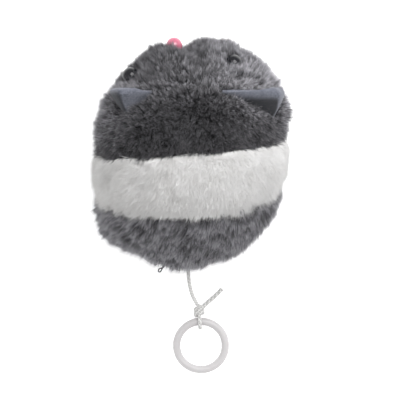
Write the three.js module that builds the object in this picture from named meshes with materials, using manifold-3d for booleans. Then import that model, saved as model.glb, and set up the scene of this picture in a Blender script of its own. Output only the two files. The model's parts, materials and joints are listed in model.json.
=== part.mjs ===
// Plush pull-cord mouse: fur panels over stuffing, a spring-driven shaker inside, a cord and ring behind.
// Millimetres, +Z up, nose towards +Y, the belly's flat patch on z = 0.
import * as THREE from 'three';
import { mergeVertices } from 'three/addons/utils/BufferGeometryUtils.js';
import Module from 'manifold-3d';

// Body: half sizes of the fur envelope about a centre line that runs from tail to nose
const bodyHalfWidth = 38.2;
const bodyHalfLength = 44.6;
const bodyCrownHeight = 31;
const centreHeight = 31;
const bellyFlatDepth = 0.5;
const bodyLean = 0.07;
const lengthRoundness = 2.3;
const crownRoundness = 2.1;
const bellyRoundness = 2.6;
const bodySides = 32;

// Plush: thickness of pile and backing together, and the seams between the panels
const skinThickness = 7;
const sewingGap = 0.4;
const seamDepth = 2.4;
const seamReach = 7;
const earSeam = { side: 25.4, slant: 0 };
const frontSeam = { side: 3.2, slant: -0.142 };
const rearSeam = { side: -16.8, slant: -0.365 };

// Ears: felt hoods, in degrees from the crown line and in lengths behind the nose's end of the body
const feltThickness = 1.2;
const earRootSpread = 6;
const leftEar = { inner: -26.5, ridge: -36.5, outer: -60, root: -41.5, lift: 8 };
const leftEarBehind = { inner: 20.2, ridge: 20.2, outer: 19.1, root: 27.4 };
const rightEar = { inner: 20.5, ridge: 42, outer: 74, root: 57, lift: 9 };
const rightEarBehind = { inner: 21.6, ridge: 22.7, outer: 21.7, root: 32 };

// Eyes and nose: domes on shanks, locked by washers behind the plush
const eyeRadius = 3.4;
const eyeHeight = 3.6;
const eyeSink = 3;
const leftEyeSeat = { behind: 11.6, fromTop: -62 };
const rightEyeSeat = { behind: 9.2, fromTop: 40 };
const noseRadius = 3.2;
const noseHeight = 3.6;
const noseSink = 1.7;
const noseSeat = { behind: 0.45, fromTop: -75 };
const shankRadius = 1.2;
const shankReach = 1.4;
const washerRadius = 4.4;
const washerThickness = 1.2;

// Clearances
const seatGap = 0.3;
const pinGap = 0.12;
const runningGap = 0.2;

// Shaker case
const caseWidth = 38;
const caseLength = 49;
const caseCorner = 5;
const caseWall = 1.6;
const casePlace = { x: 1.15, y: -0.5 };
const caseBottom = 17;
const bossRadius = 2.3;
const bossInset = 2.4;
const screwRadius = 1;
const screwHeadRadius = 1.8;
const screwHeadHeight = 1.1;
const screwGrip = 6;

// Gear train
const gearModule = 0.6;
const pressureAngle = THREE.MathUtils.degToRad(20);
const profileShift = 0.4;
const rootClearance = 0.25;
const backlash = 0.12;
const gearWidth = 2;
const gearLayerGap = 0.5;
const pinionOverlap = 0.2;
const drumTeeth = 40;
const idlerTeeth = 30;
const pinionTeeth = 10;
const pinRadius = 1;
const pinSeat = 1.1;
const idlerPinReach = 3;
const hubRadius = 1.8;
const drumAxis = { x: 4.75, y: -9.5 };
const idlerBearing = THREE.MathUtils.degToRad(110);
const weightBearing = THREE.MathUtils.degToRad(55);

// Drum, its cord and its spring
const cordDiameter = 1.5;
const cordPitch = 2;
const cordTurns = 4.5;
const windingMargin = 0.4;
const drumCoreRadius = 8;
const drumWall = 1.2;
const drumFlangeRadius = 11;
const drumFlange = 1;
const drumHeadroom = 0.6;
const arborRadius = 2.2;
const springThickness = 0.4;
const springTurns = 4;
const springStepsPerTurn = 16;
const cordStepsPerTurn = 18;

// Off-centre weight
const weightRadius = 7.5;
const weightThickness = 11.5;
const weightHub = 2.6;

// Bush that leads the cord through the case wall
const bushRadius = 2.4;
const bushFlangeRadius = 3.3;
const bushFlange = 0.9;
const cordGap = 0.35;
const tunnelRadius = 1.7;

// Catnip pouch
const pouchHalf = { x: 12, y: 9, z: 4 };
const pouchPlace = { x: 0, y: 2 };
const pouchNeck = 5;

// Cord outside the body, its knot and the ring
const cordJoinDepth = 4;
const cordRoute = [
  [-3.1, -48.4, 23.6],
  [-2.8, -52, 20],
  [-2.3, -54.9, 15.4],
  [-1.6, -57.2, 10.8],
  [-0.9, -58.9, 7.6],
];
const ringOuter = 23;
const ringSection = 3.1;
const ringNear = { x: 0.3, y: -67.2 };
const loopOpening = 1.05;
const floorGap = 0.05;
const knotLength = 2.7;
const knotRadius = 2;
const endDiameter = 1.8;
const endTip = { x: 10.1, y: -54.7 };

// Values worked out from the sizes above
const bellyDepth = centreHeight + bellyFlatDepth;
const cordRadius = cordDiameter / 2;
const windingRadius = drumCoreRadius + seatGap + cordRadius;
const lowGearBottom = caseWall + gearLayerGap + pinionOverlap;
const highGearBottom = lowGearBottom + gearWidth + gearLayerGap;
const windingBottom = highGearBottom + gearWidth;
const cordLevel = windingBottom + windingMargin + cordRadius;
const windingTop = cordLevel + cordTurns * cordPitch + cordRadius + windingMargin;
const drumTop = windingTop + drumFlange;
const coverUnderside = drumTop + drumHeadroom;
const caseHeight = coverUnderside + caseWall;
const drumPitchRadius = (gearModule * drumTeeth) / 2;
const idlerPitchRadius = (gearModule * idlerTeeth) / 2;
const pinionPitchRadius = (gearModule * pinionTeeth) / 2;
const idlerAxis = fromBearing(drumAxis, idlerBearing, drumPitchRadius + pinionPitchRadius);
const weightAxis = fromBearing(idlerAxis, weightBearing, idlerPitchRadius + pinionPitchRadius);
const exitX = drumAxis.x - windingRadius;
const caseRear = -caseLength / 2;
const ringSectionRadius = ringSection / 2;
const ringRadius = ringOuter / 2 - ringSectionRadius;
const loopRadius = ringSectionRadius + seatGap + cordRadius;
const ringNearHeight = loopRadius + cordRadius + floorGap;
const ringTilt = Math.asin((ringNearHeight - ringSectionRadius - floorGap) / (2 * ringRadius));
const loopStart = Math.asin(loopOpening / loopRadius);
const knotFront = ringNear.y + (loopRadius + cordRadius) * Math.cos(loopStart) + seatGap;
const knotPlace = new THREE.Vector3(ringNear.x, knotFront + knotLength / 2, ringNearHeight);

const wasm = await Module();
wasm.setup();

function fromBearing(start, bearing, distance) {
  return { x: start.x + distance * Math.cos(bearing), y: start.y + distance * Math.sin(bearing) };
}

// Solids: a closed geometry becomes a solid to join or cut, and a solid becomes a geometry again
function solidOf(geometry) {
  const bare = geometry.clone();
  bare.deleteAttribute('normal');
  bare.deleteAttribute('uv');
  const merged = mergeVertices(bare, 1e-4);
  const vertProperties = new Float32Array(merged.attributes.position.array);
  const triVerts = new Uint32Array(merged.index.array);
  return new wasm.Manifold(new wasm.Mesh({ numProp: 3, vertProperties, triVerts }));
}

function geometryOf(solid) {
  const mesh = solid.getMesh();
  const geometry = new THREE.BufferGeometry();
  geometry.setAttribute('position', new THREE.BufferAttribute(new Float32Array(mesh.vertProperties), 3));
  geometry.setIndex(new THREE.BufferAttribute(new Uint32Array(mesh.triVerts), 1));
  const faceted = geometry.toNonIndexed();
  faceted.computeVertexNormals();
  return faceted;
}

function cut(geometry, ...tools) {
  return geometryOf(tools.reduce((solid, tool) => solid.subtract(solidOf(tool)), solidOf(geometry)));
}

function join(geometry, ...others) {
  return geometryOf(others.reduce((solid, other) => solid.add(solidOf(other)), solidOf(geometry)));
}

// Basic forms, all standing on +Z
function post(radius, bottom, top, sides = 16) {
  const geometry = new THREE.CylinderGeometry(radius, radius, top - bottom, sides);
  geometry.rotateX(Math.PI / 2);
  geometry.translate(0, 0, (bottom + top) / 2);
  return geometry;
}

function postAt(place, radius, bottom, top, sides = 16) {
  return post(radius, bottom, top, sides).translate(place.x, place.y, 0);
}

function rodAlongY(x, z, radius, fromY, toY, sides = 16) {
  const geometry = new THREE.CylinderGeometry(radius, radius, Math.abs(toY - fromY), sides);
  geometry.translate(x, (fromY + toY) / 2, z);
  return geometry;
}

function turned(profile, sides) {
  const points = profile.map(([radius, height]) => new THREE.Vector2(radius, height));
  const geometry = new THREE.LatheGeometry(points, sides);
  geometry.rotateX(Math.PI / 2);
  return geometry;
}

function slab(shape, bottom, top, curveSegments = 4) {
  const settings = { depth: top - bottom, bevelEnabled: false, curveSegments };
  const geometry = new THREE.ExtrudeGeometry(shape, settings);
  return geometry.translate(0, 0, bottom);
}

function roundedOutline(width, length, corner) {
  const shape = new THREE.Shape();
  const x = width / 2 - corner;
  const y = length / 2 - corner;
  shape.absarc(x, y, corner, 0, Math.PI / 2);
  shape.absarc(-x, y, corner, Math.PI / 2, Math.PI);
  shape.absarc(-x, -y, corner, Math.PI, 1.5 * Math.PI);
  shape.absarc(x, -y, corner, 1.5 * Math.PI, 2 * Math.PI);
  return shape;
}

function tube(curve, diameter, steps, sides) {
  const section = new THREE.Shape();
  for (let side = 0; side < sides; side += 1) {
    const angle = (2 * Math.PI * side) / sides;
    const x = (diameter / 2) * Math.cos(angle);
    const y = (diameter / 2) * Math.sin(angle);
    if (side === 0) section.moveTo(x, y);
    else section.lineTo(x, y);
  }
  return new THREE.ExtrudeGeometry(section, { steps, extrudePath: curve, bevelEnabled: false });
}

// Fur envelope: a superellipsoid about the centre line, which leans a little to one side
function signedPower(value, power) {
  return Math.sign(value) * Math.abs(value) ** power;
}

function skinPoint(station, angle, offset = 0) {
  const share = Math.min(Math.abs(station) / bodyHalfLength, 1);
  const swell = (1 - share ** lengthRoundness) ** (1 / lengthRoundness);
  const across = Math.cos(angle);
  const up = Math.sin(angle);
  const roundness = up < 0 ? bellyRoundness : crownRoundness;
  const height = (up < 0 ? bellyDepth : bodyCrownHeight) + offset;
  const x = (bodyHalfWidth + offset) * signedPower(across, 2 / roundness) * swell;
  const y = station * (1 + offset / bodyHalfLength);
  const z = height * signedPower(up, 2 / roundness) * swell;
  return new THREE.Vector3(x + bodyLean * y, y, centreHeight + z);
}

function fromTop(degrees) {
  return THREE.MathUtils.degToRad(90 - degrees);
}

function latitudeOf(station) {
  return Math.sign(station) * Math.asin((Math.abs(station) / bodyHalfLength) ** (lengthRoundness / 2));
}

function stationAt(latitude) {
  return bodyHalfLength * signedPower(Math.sin(latitude), 2 / lengthRoundness);
}

// A seam lies in a slanted plane: its station at one angle round the body
function seamStation(seam, angle) {
  let station = seam.side;
  for (let pass = 0; pass < 12; pass += 1) {
    const height = skinPoint(station, angle).z - centreHeight;
    station = seam.side + seam.slant * height;
  }
  return station;
}

// The plush draws in beside each seam, most on the crown and not at all under the belly
function seamDraw(station, angle) {
  const fade = (1 + Math.sin(angle)) / 2;
  const draws = [earSeam, frontSeam, rearSeam].map((seam) => {
    const away = Math.abs(station - seamStation(seam, angle));
    return Math.max(0, 1 - away / seamReach) ** 2;
  });
  return seamDepth * fade * Math.max(...draws);
}

// Rings of points joined into one closed surface
class Surface {
  constructor() {
    this.points = [];
    this.triangles = [];
  }

  add(point) {
    this.points.push(point.x, point.y, point.z);
    return this.points.length / 3 - 1;
  }

  ring(points) {
    return points.map((point) => this.add(point));
  }

  band(first, second) {
    first.forEach((a, i) => {
      const next = (i + 1) % first.length;
      this.triangles.push(a, first[next], second[next], a, second[next], second[i]);
    });
  }

  fan(ring, tip) {
    ring.forEach((a, i) => this.triangles.push(a, ring[(i + 1) % ring.length], tip));
  }

  geometry() {
    const geometry = new THREE.BufferGeometry();
    geometry.setAttribute('position', new THREE.Float32BufferAttribute(this.points, 3));
    geometry.setIndex(this.triangles);
    const corners = [0, 1, 2].map(() => new THREE.Vector3());
    let volume = 0;
    for (let i = 0; i < this.triangles.length; i += 3) {
      corners.forEach((corner, k) => corner.fromArray(this.points, 3 * this.triangles[i + k]));
      volume += corners[0].dot(corners[1].cross(corners[2]));
    }
    if (volume < 0) geometry.setIndex(this.triangles.slice().reverse());
    return geometry;
  }
}

function ringAngles(sides) {
  return Array.from({ length: sides }, (_, i) => (2 * Math.PI * i) / sides);
}

// One row of a panel: a share of the way between two edges, each a station at every angle
function panelRow(front, rear, share, offset, drawn) {
  return ringAngles(bodySides).map((angle) => {
    const start = latitudeOf(front(angle));
    const end = latitudeOf(rear(angle));
    const station = stationAt(start + (end - start) * share);
    const draw = drawn ? seamDraw(station, angle) : 0;
    return skinPoint(station, angle, offset - draw);
  });
}

// A fur panel: outer pile, inner backing and the sewn edges between them
function furPanel(front, rear, rows) {
  const surface = new Surface();
  const noseClosed = front === noseEnd;
  const tailClosed = rear === tailEnd;
  const shares = Array.from({ length: rows + 1 }, (_, i) => i / rows);
  const open = shares.filter((share) => !(noseClosed && share === 0) && !(tailClosed && share === 1));
  const outer = open.map((share) => surface.ring(panelRow(front, rear, share, 0, true)));
  const inner = open.map((share) => surface.ring(panelRow(front, rear, share, -skinThickness, false)));
  for (let i = 0; i + 1 < open.length; i += 1) {
    surface.band(outer[i], outer[i + 1]);
    surface.band(inner[i + 1], inner[i]);
  }
  closeEnd(surface, outer[0], inner[0], noseClosed ? bodyHalfLength : 0, true);
  closeEnd(surface, outer.at(-1), inner.at(-1), tailClosed ? -bodyHalfLength : 0, false);
  return surface.geometry();
}

function closeEnd(surface, outer, inner, pole, first) {
  const [one, other] = first ? [inner, outer] : [outer, inner];
  if (pole === 0) {
    surface.band(one, other);
    return;
  }
  const outerTip = surface.add(skinPoint(pole, 0, 0));
  const innerTip = surface.add(skinPoint(pole, 0, -skinThickness));
  surface.fan(first ? outer.slice().reverse() : outer, outerTip);
  surface.fan(first ? inner : inner.slice().reverse(), innerTip);
}

const noseEnd = () => bodyHalfLength;
const tailEnd = () => -bodyHalfLength;
const behind = (seam) => (angle) => seamStation(seam, angle) - sewingGap / 2;
const before = (seam) => (angle) => seamStation(seam, angle) + sewingGap / 2;

const floorBlock = new THREE.BoxGeometry(4 * bodyHalfWidth, 4 * bodyHalfLength, centreHeight);
floorBlock.translate(0, 0, -centreHeight / 2);

// Frames for what is set into the plush: origin on the envelope, +Z outwards
function skinFrame(seat) {
  const angle = fromTop(seat.fromTop);
  const station = bodyHalfLength - seat.behind;
  const step = 0.01;
  const place = skinPoint(station, angle);
  const along = skinPoint(station + step, angle).sub(place);
  const around = skinPoint(station, angle + step).sub(place);
  const outward = along.cross(around).normalize();
  if (outward.dot(place.clone().setZ(place.z - centreHeight)) < 0) outward.negate();
  const group = new THREE.Group();
  group.position.copy(place);
  group.quaternion.setFromUnitVectors(new THREE.Vector3(0, 0, 1), outward);
  group.updateMatrixWorld(true);
  return group;
}

function placed(geometry, group) {
  return geometry.clone().applyMatrix4(group.matrixWorld);
}

// Materials
function finish(color, roughness, metalness = 0) {
  return () => new THREE.MeshStandardMaterial({ color, roughness, metalness });
}
const greyPlush = finish(0x5c5c60, 0.95);
const whitePlush = finish(0xd6d3cf, 0.95);
const greyFelt = finish(0x6e717d, 0.95);
const blackPlastic = finish(0x0c0c0e, 0.12);
const pinkPlastic = finish(0xe8829c, 0.2);
const polyesterFill = finish(0xeceae4, 1);
const cottonCloth = finish(0xb9a985, 0.95);
const casePlastic = finish(0xb8bcc2, 0.5);
const gearPlastic = finish(0xe9e6dc, 0.4);
const steel = finish(0xb4b6ba, 0.3, 1);
const zinc = finish(0x8c8f94, 0.45, 1);
const braidedCord = finish(0xd0cfce, 0.85);
const ringPlastic = finish(0xe2dfe0, 0.35);

const mouse = new THREE.Group();
mouse.name = 'pull_cord_mouse';

function piece(name, geometry, material, parent = mouse) {
  const mesh = new THREE.Mesh(geometry, material());
  mesh.name = name;
  parent.add(mesh);
  return mesh;
}

// Shaker frame: origin at the middle of the case's bottom
const shaker = new THREE.Group();
shaker.position.set(casePlace.x, casePlace.y, caseBottom);
shaker.updateMatrixWorld(true);
mouse.add(shaker);
const exitPlace = new THREE.Vector3(exitX, 0, cordLevel).add(shaker.position);
const cordBore = rodAlongY(exitPlace.x, exitPlace.z, cordRadius + cordGap, 0, -2 * bodyHalfLength, 12);

// Where the envelope's rear lies at the cord's height
function rearOfEnvelope(place) {
  const drop = Math.abs(place.z - centreHeight) / (place.z < centreHeight ? bellyDepth : bodyCrownHeight);
  return -bodyHalfLength * (1 - drop ** lengthRoundness) ** (1 / lengthRoundness);
}
const exitRear = rearOfEnvelope(exitPlace);
const cordJoin = exitRear + cordJoinDepth;

// How far out a point lies: below 1 inside the envelope, or inside it by an offset
function envelopeShare(point, offset) {
  const up = point.z - centreHeight;
  const roundness = up < 0 ? bellyRoundness : crownRoundness;
  const height = (up < 0 ? bellyDepth : bodyCrownHeight) + offset;
  const across = Math.abs(point.x - bodyLean * point.y) / (bodyHalfWidth + offset);
  const section = (across ** roundness + (Math.abs(up) / height) ** roundness) ** (1 / roundness);
  const along = Math.abs(point.y) / (bodyHalfLength + offset);
  return along ** lengthRoundness + section ** lengthRoundness;
}

// Eyes and nose with their sockets and washers
function washerDepth(frame) {
  const step = 0.05;
  const rim = ringAngles(16).map((angle) => {
    return new THREE.Vector3(washerRadius * Math.cos(angle), washerRadius * Math.sin(angle), 0);
  });
  let depth = skinThickness;
  const outside = (point) => {
    const place = point.clone().setZ(-depth).applyMatrix4(frame.matrixWorld);
    return envelopeShare(place, -skinThickness - seatGap) > 1;
  };
  while (rim.some(outside)) depth += step;
  return depth;
}

function domeOnShank(radius, height, sink, shankLength) {
  const profile = [[0, -shankLength], [shankRadius, -shankLength], [shankRadius, -sink], [radius, -sink]];
  const rings = 5;
  for (let i = 1; i < rings; i += 1) {
    const turn = (Math.PI / 2) * (i / rings);
    profile.push([radius * Math.cos(turn), -sink + height * Math.sin(turn)]);
  }
  profile.push([0, -sink + height]);
  return turned(profile, 16);
}

function socketTools(radius, sink, shankLength) {
  const mouth = post(radius + seatGap, -sink - seatGap, 2 * skinThickness);
  return [mouth, post(shankRadius + seatGap, -shankLength - seatGap, 0, 12)];
}

function washer(depth) {
  const inner = shankRadius + seatGap;
  const bottom = -depth - washerThickness;
  return turned(
    [[inner, bottom], [washerRadius, bottom], [washerRadius, -depth], [inner, -depth], [inner, bottom]],
    16,
  );
}

function washerPocket(depth, shankLength) {
  const room = post(washerRadius + seatGap, -depth - washerThickness - seatGap, 0);
  return join(room, post(shankRadius + seatGap, -shankLength - seatGap, 0, 12));
}

const eyeForm = { radius: eyeRadius, height: eyeHeight, sink: eyeSink, look: blackPlastic };
const fittings = [
  { name: 'left_eye', seat: leftEyeSeat, ...eyeForm },
  { name: 'right_eye', seat: rightEyeSeat, ...eyeForm },
  { name: 'nose', seat: noseSeat, radius: noseRadius, height: noseHeight, sink: noseSink, look: pinkPlastic },
];
const sockets = [];
const pockets = [];
fittings.forEach(({ name, seat, radius, height, sink, look }) => {
  const frame = skinFrame(seat);
  const depth = washerDepth(frame);
  const shankLength = depth + washerThickness + shankReach;
  mouse.add(frame);
  piece(name, domeOnShank(radius, height, sink, shankLength), look, frame);
  piece(`${name}_washer`, washer(depth), gearPlastic, frame);
  sockets.push(...socketTools(radius, sink, shankLength).map((tool) => placed(tool, frame)));
  pockets.push(placed(washerPocket(depth, shankLength), frame));
});

// Fur panels
piece('face_panel', cut(furPanel(noseEnd, before(earSeam), 5), ...sockets), greyPlush);
piece('crown_panel', cut(furPanel(behind(earSeam), before(frontSeam), 6), floorBlock), greyPlush);
piece('middle_band', cut(furPanel(behind(frontSeam), before(rearSeam), 6), floorBlock), whitePlush);
piece('rear_panel', cut(furPanel(behind(rearSeam), tailEnd, 6), floorBlock, cordBore), greyPlush);

// Ears: a felt sheet that stands off the fur along a ridge and comes down to a pinched root
function feltHood(ear, earBehind) {
  const across = 12;
  const along = 5;
  const ridgeShare = (ear.ridge - ear.inner) / (ear.outer - ear.inner);
  const sheetPoint = (u, v, thickness) => {
    const rim = ear.inner + (ear.outer - ear.inner) * u;
    const root = ear.root + Math.sign(ear.outer) * earRootSpread * (u - 0.5);
    const angle = fromTop(rim + (root - rim) * v);
    const climb = u < ridgeShare ? u / ridgeShare : (1 - u) / (1 - ridgeShare);
    const endBehind = u < ridgeShare ? earBehind.inner : earBehind.outer;
    const rimBehind = endBehind + (earBehind.ridge - endBehind) * climb;
    const forward = bodyHalfLength - rimBehind - (earBehind.root - rimBehind) * v;
    const offset = seatGap + ear.lift * climb * (1 - v) + thickness;
    return skinPoint(forward / (1 + offset / bodyHalfLength), angle, offset);
  };
  const surface = new Surface();
  const loops = [];
  for (let j = 0; j <= along; j += 1) {
    const upper = [];
    const lower = [];
    for (let i = 0; i <= across; i += 1) {
      upper.push(sheetPoint(i / across, j / along, feltThickness));
      lower.unshift(sheetPoint(i / across, j / along, 0));
    }
    loops.push(surface.ring([...upper, ...lower]));
  }
  for (let j = 0; j < along; j += 1) surface.band(loops[j], loops[j + 1]);
  closeSheet(surface, loops[0], across, true);
  closeSheet(surface, loops.at(-1), across, false);
  return surface.geometry();
}

// The cut edge at one end of a sheet, between its upper and its lower face
function closeSheet(surface, loop, across, first) {
  for (let i = 0; i < across; i += 1) {
    const [a, b] = [loop[i], loop[i + 1]];
    const [c, d] = [loop[loop.length - 2 - i], loop[loop.length - 1 - i]];
    if (first) surface.triangles.push(a, c, b, a, d, c);
    else surface.triangles.push(a, b, c, a, c, d);
  }
}

piece('left_ear', feltHood(leftEar, leftEarBehind), greyFelt);
piece('right_ear', feltHood(rightEar, rightEarBehind), greyFelt);

// Gears: involute teeth in straight facets, one tooth centred on the given bearing
function gearShape(teeth, shift, bearing, boreRadius) {
  const pitchRadius = (gearModule * teeth) / 2;
  const baseRadius = pitchRadius * Math.cos(pressureAngle);
  const tipRadius = pitchRadius + gearModule * (1 + shift);
  const rootRadius = pitchRadius - gearModule * (1 + rootClearance - shift);
  const involute = (radius) => {
    const roll = Math.acos(Math.min(1, baseRadius / radius));
    return Math.tan(roll) - roll;
  };
  const thickness = gearModule * (Math.PI / 2 + 2 * shift * Math.tan(pressureAngle)) - backlash;
  const halfTooth = (radius) => thickness / (2 * pitchRadius) + involute(pitchRadius) - involute(radius);
  const flankStart = Math.max(rootRadius, baseRadius);
  const radii = [flankStart, (flankStart + tipRadius) / 2, tipRadius];
  const shape = new THREE.Shape();
  const points = [];
  const addPoint = (radius, angle) => {
    points.push(new THREE.Vector2(radius * Math.cos(angle), radius * Math.sin(angle)));
  };
  for (let tooth = 0; tooth < teeth; tooth += 1) {
    const centre = bearing + (2 * Math.PI * tooth) / teeth;
    if (rootRadius < baseRadius) addPoint(rootRadius, centre - halfTooth(baseRadius));
    radii.forEach((radius) => addPoint(radius, centre - halfTooth(radius)));
    radii.slice().reverse().forEach((radius) => addPoint(radius, centre + halfTooth(radius)));
    if (rootRadius < baseRadius) addPoint(rootRadius, centre + halfTooth(baseRadius));
  }
  shape.setFromPoints(points);
  const bore = new THREE.Path();
  bore.absarc(0, 0, boreRadius, 0, 2 * Math.PI, true);
  shape.holes.push(bore);
  return shape;
}

function holder(axis) {
  const group = new THREE.Group();
  group.position.set(axis.x, axis.y, 0);
  shaker.add(group);
  return group;
}
const drumHolder = holder(drumAxis);
const idlerHolder = holder(idlerAxis);
const weightHolder = holder(weightAxis);
const runningBore = pinRadius + runningGap;
const fixedBore = pinRadius + pinGap;
const boreSegments = 6;

// Drum: large gear, spool and spring barrel in one moulding
const barrelRadius = drumCoreRadius - drumWall;
const barrelFloor = windingBottom + drumWall;
const spool = turned(
  [
    [runningBore, highGearBottom],
    [drumCoreRadius, highGearBottom],
    [drumCoreRadius, windingTop],
    [drumFlangeRadius, windingTop],
    [drumFlangeRadius, drumTop],
    [barrelRadius, drumTop],
    [barrelRadius, barrelFloor],
    [runningBore, barrelFloor],
    [runningBore, highGearBottom],
  ],
  32,
);
const drumGear = slab(
  gearShape(drumTeeth, -profileShift, idlerBearing, drumCoreRadius - drumWall),
  highGearBottom,
  windingBottom,
);
piece('cord_drum', join(drumGear, spool), gearPlastic, drumHolder);
piece('drum_axle', post(pinRadius, pinSeat, caseHeight - pinSeat, 12), steel, drumHolder);

// Spring: a flat strip wound from the arbor out to the barrel
function spiralStrip() {
  const firstRadius = arborRadius + seatGap;
  const growth = (barrelRadius - seatGap - springThickness - firstRadius) / springTurns;
  const steps = springTurns * springStepsPerTurn;
  const edge = (share, extra) => {
    const turn = 2 * Math.PI * springTurns * share;
    const radius = firstRadius + growth * springTurns * share + extra;
    return new THREE.Vector2(radius * Math.cos(turn), radius * Math.sin(turn));
  };
  const shares = Array.from({ length: steps + 1 }, (_, i) => i / steps);
  const outer = shares.map((share) => edge(share, springThickness));
  const inner = shares.map((share) => edge(share, 0)).reverse();
  const shape = new THREE.Shape([...outer, ...inner]);
  return slab(shape, barrelFloor + drumHeadroom, windingTop);
}
piece('power_spring', spiralStrip(), steel, drumHolder);

// Cord on the drum: one unbroken helix whose lower end runs straight off towards the exit
class Winding extends THREE.Curve {
  getPoint(share, target = new THREE.Vector3()) {
    const turnLength = 2 * Math.PI * windingRadius;
    const run = share * (cordTurns * turnLength + cordDiameter) - cordDiameter;
    if (run < 0) return target.set(-windingRadius, run, cordLevel);
    const angle = Math.PI - run / windingRadius;
    const height = cordLevel + (cordPitch * run) / turnLength;
    return target.set(windingRadius * Math.cos(angle), windingRadius * Math.sin(angle), height);
  }
}
const winding = new Winding();
piece('wound_cord', tube(winding, cordDiameter, cordTurns * cordStepsPerTurn, 6), braidedCord, drumHolder);

// Least gap between neighbouring turns, on points along the winding
function leastGap(curve, diameter, count) {
  const points = curve.getSpacedPoints(count);
  const apart = Math.ceil((count / cordTurns) * 0.5);
  let least = Infinity;
  for (let i = 0; i < points.length; i += 1) {
    for (let j = i + apart; j < points.length; j += 1) {
      least = Math.min(least, points[i].distanceTo(points[j]));
    }
  }
  return least - diameter;
}
console.log(`wound_cord: least gap to itself ${leastGap(winding, cordDiameter, 400).toFixed(2)} mm`);

// Cord from the drum to the hole in the plush
const feedStart = shaker.position.y + drumAxis.y - cordDiameter - seatGap;
piece('feed_cord', rodAlongY(exitPlace.x, exitPlace.z, cordRadius, feedStart, cordJoin, 8), braidedCord);

// Idler: gear and pinion in one moulding
const idlerTop = windingBottom + pinionOverlap;
const idlerPinTop = idlerTop + idlerPinReach;
const idlerGear = slab(gearShape(idlerTeeth, -profileShift, weightBearing, runningBore), lowGearBottom,
  lowGearBottom + gearWidth, boreSegments);
const idlerPinion = slab(
  gearShape(pinionTeeth, profileShift, idlerBearing + Math.PI + Math.PI / pinionTeeth, runningBore),
  lowGearBottom + gearWidth / 2,
  idlerTop,
  boreSegments,
);
piece('idler_gear', join(idlerGear, idlerPinion), gearPlastic, idlerHolder);
piece('idler_axle', post(pinRadius, pinSeat, idlerPinTop, 12), steel, idlerHolder);

// Fast shaft: pinion, off-centre weight and their pin
const weightBottom = highGearBottom;
const weightTop = weightBottom + weightThickness;
const weightPinion = slab(
  gearShape(pinionTeeth, profileShift, weightBearing + Math.PI + Math.PI / pinionTeeth, fixedBore),
  lowGearBottom,
  lowGearBottom + gearWidth + pinionOverlap,
  boreSegments,
);
piece('weight_pinion', weightPinion, gearPlastic, weightHolder);
const sector = new THREE.Shape();
sector.absarc(0, 0, weightRadius, 0, Math.PI);
const weightBody = join(slab(sector, weightBottom, weightTop, 10), post(weightHub, weightBottom, weightTop));
piece('eccentric_weight', cut(weightBody, post(fixedBore, 0, caseHeight, 12)), zinc, weightHolder);
piece('weight_axle', post(pinRadius, pinSeat, caseHeight - pinSeat, 12), steel, weightHolder);

// Case: a tray and a cover that meet at the cord's level and clamp the bush between them
const caseBlock = (grow, bottom, top) => {
  const outline = roundedOutline(caseWidth + 2 * grow, caseLength + 2 * grow, caseCorner + grow);
  return slab(outline, bottom, top);
};
const bossX = caseWidth / 2 - caseWall - bossInset;
const bossY = caseLength / 2 - caseWall - bossInset;
const bossPlaces = [[-1, -1], [1, -1], [1, 1], [-1, 1]].map(([sideX, sideY]) => ({
  x: sideX * bossX,
  y: sideY * bossY,
}));
const bushHoleEnd = caseRear + 2 * caseWall;
const bushHole = rodAlongY(exitX, cordLevel, bushRadius + pinGap, caseRear - caseWall, bushHoleEnd);
const pinSockets = [drumAxis, weightAxis].map((axis) => postAt(axis, runningBore, pinSeat - pinGap,
  caseHeight - pinSeat + pinGap, 12));
const idlerSocket = postAt(idlerAxis, runningBore, pinSeat - pinGap, idlerPinTop + pinGap, 12);

const trayShell = cut(caseBlock(0, 0, cordLevel - pinGap), caseBlock(-caseWall, caseWall, caseHeight));
const trayBosses = bossPlaces.map((place) => postAt(place, bossRadius, caseWall / 2, cordLevel - pinGap));
const trayHubs = [
  postAt(drumAxis, hubRadius, caseWall / 2, highGearBottom - seatGap),
  postAt(idlerAxis, hubRadius, caseWall / 2, lowGearBottom - seatGap),
  postAt(weightAxis, hubRadius, caseWall / 2, lowGearBottom - seatGap),
];
const pilotHoles = bossPlaces.map((place) => postAt(place, screwRadius + pinGap, caseWall, cordLevel, 12));
const traySolid = join(trayShell, ...trayBosses, ...trayHubs);
const trayCuts = [...pilotHoles, ...pinSockets, idlerSocket, bushHole];
piece('case_base', cut(traySolid, ...trayCuts), casePlastic, shaker);

const coverBottom = cordLevel + pinGap;
const coverShell = cut(caseBlock(0, coverBottom, caseHeight), caseBlock(-caseWall, 0, coverUnderside));
const lidMiddle = caseHeight - caseWall / 2;
const coverBosses = bossPlaces.map((place) => postAt(place, bossRadius, coverBottom, lidMiddle));
const coverHubs = [
  postAt(drumAxis, arborRadius, barrelFloor + drumHeadroom, lidMiddle),
  postAt(idlerAxis, hubRadius, idlerTop + seatGap, lidMiddle),
  postAt(weightAxis, hubRadius, weightTop + seatGap, lidMiddle),
];
const headSeat = caseHeight - screwHeadHeight - pinGap;
const screwHoles = bossPlaces.flatMap((place) => [
  postAt(place, screwRadius + runningGap, 0, caseHeight, 12),
  postAt(place, screwHeadRadius + runningGap, headSeat, caseHeight + caseWall),
]);
const coverSolid = join(coverShell, ...coverBosses, ...coverHubs);
const coverCuts = [...screwHoles, ...pinSockets, idlerSocket, bushHole];
piece('case_cover', cut(coverSolid, ...coverCuts), casePlastic, shaker);

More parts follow.
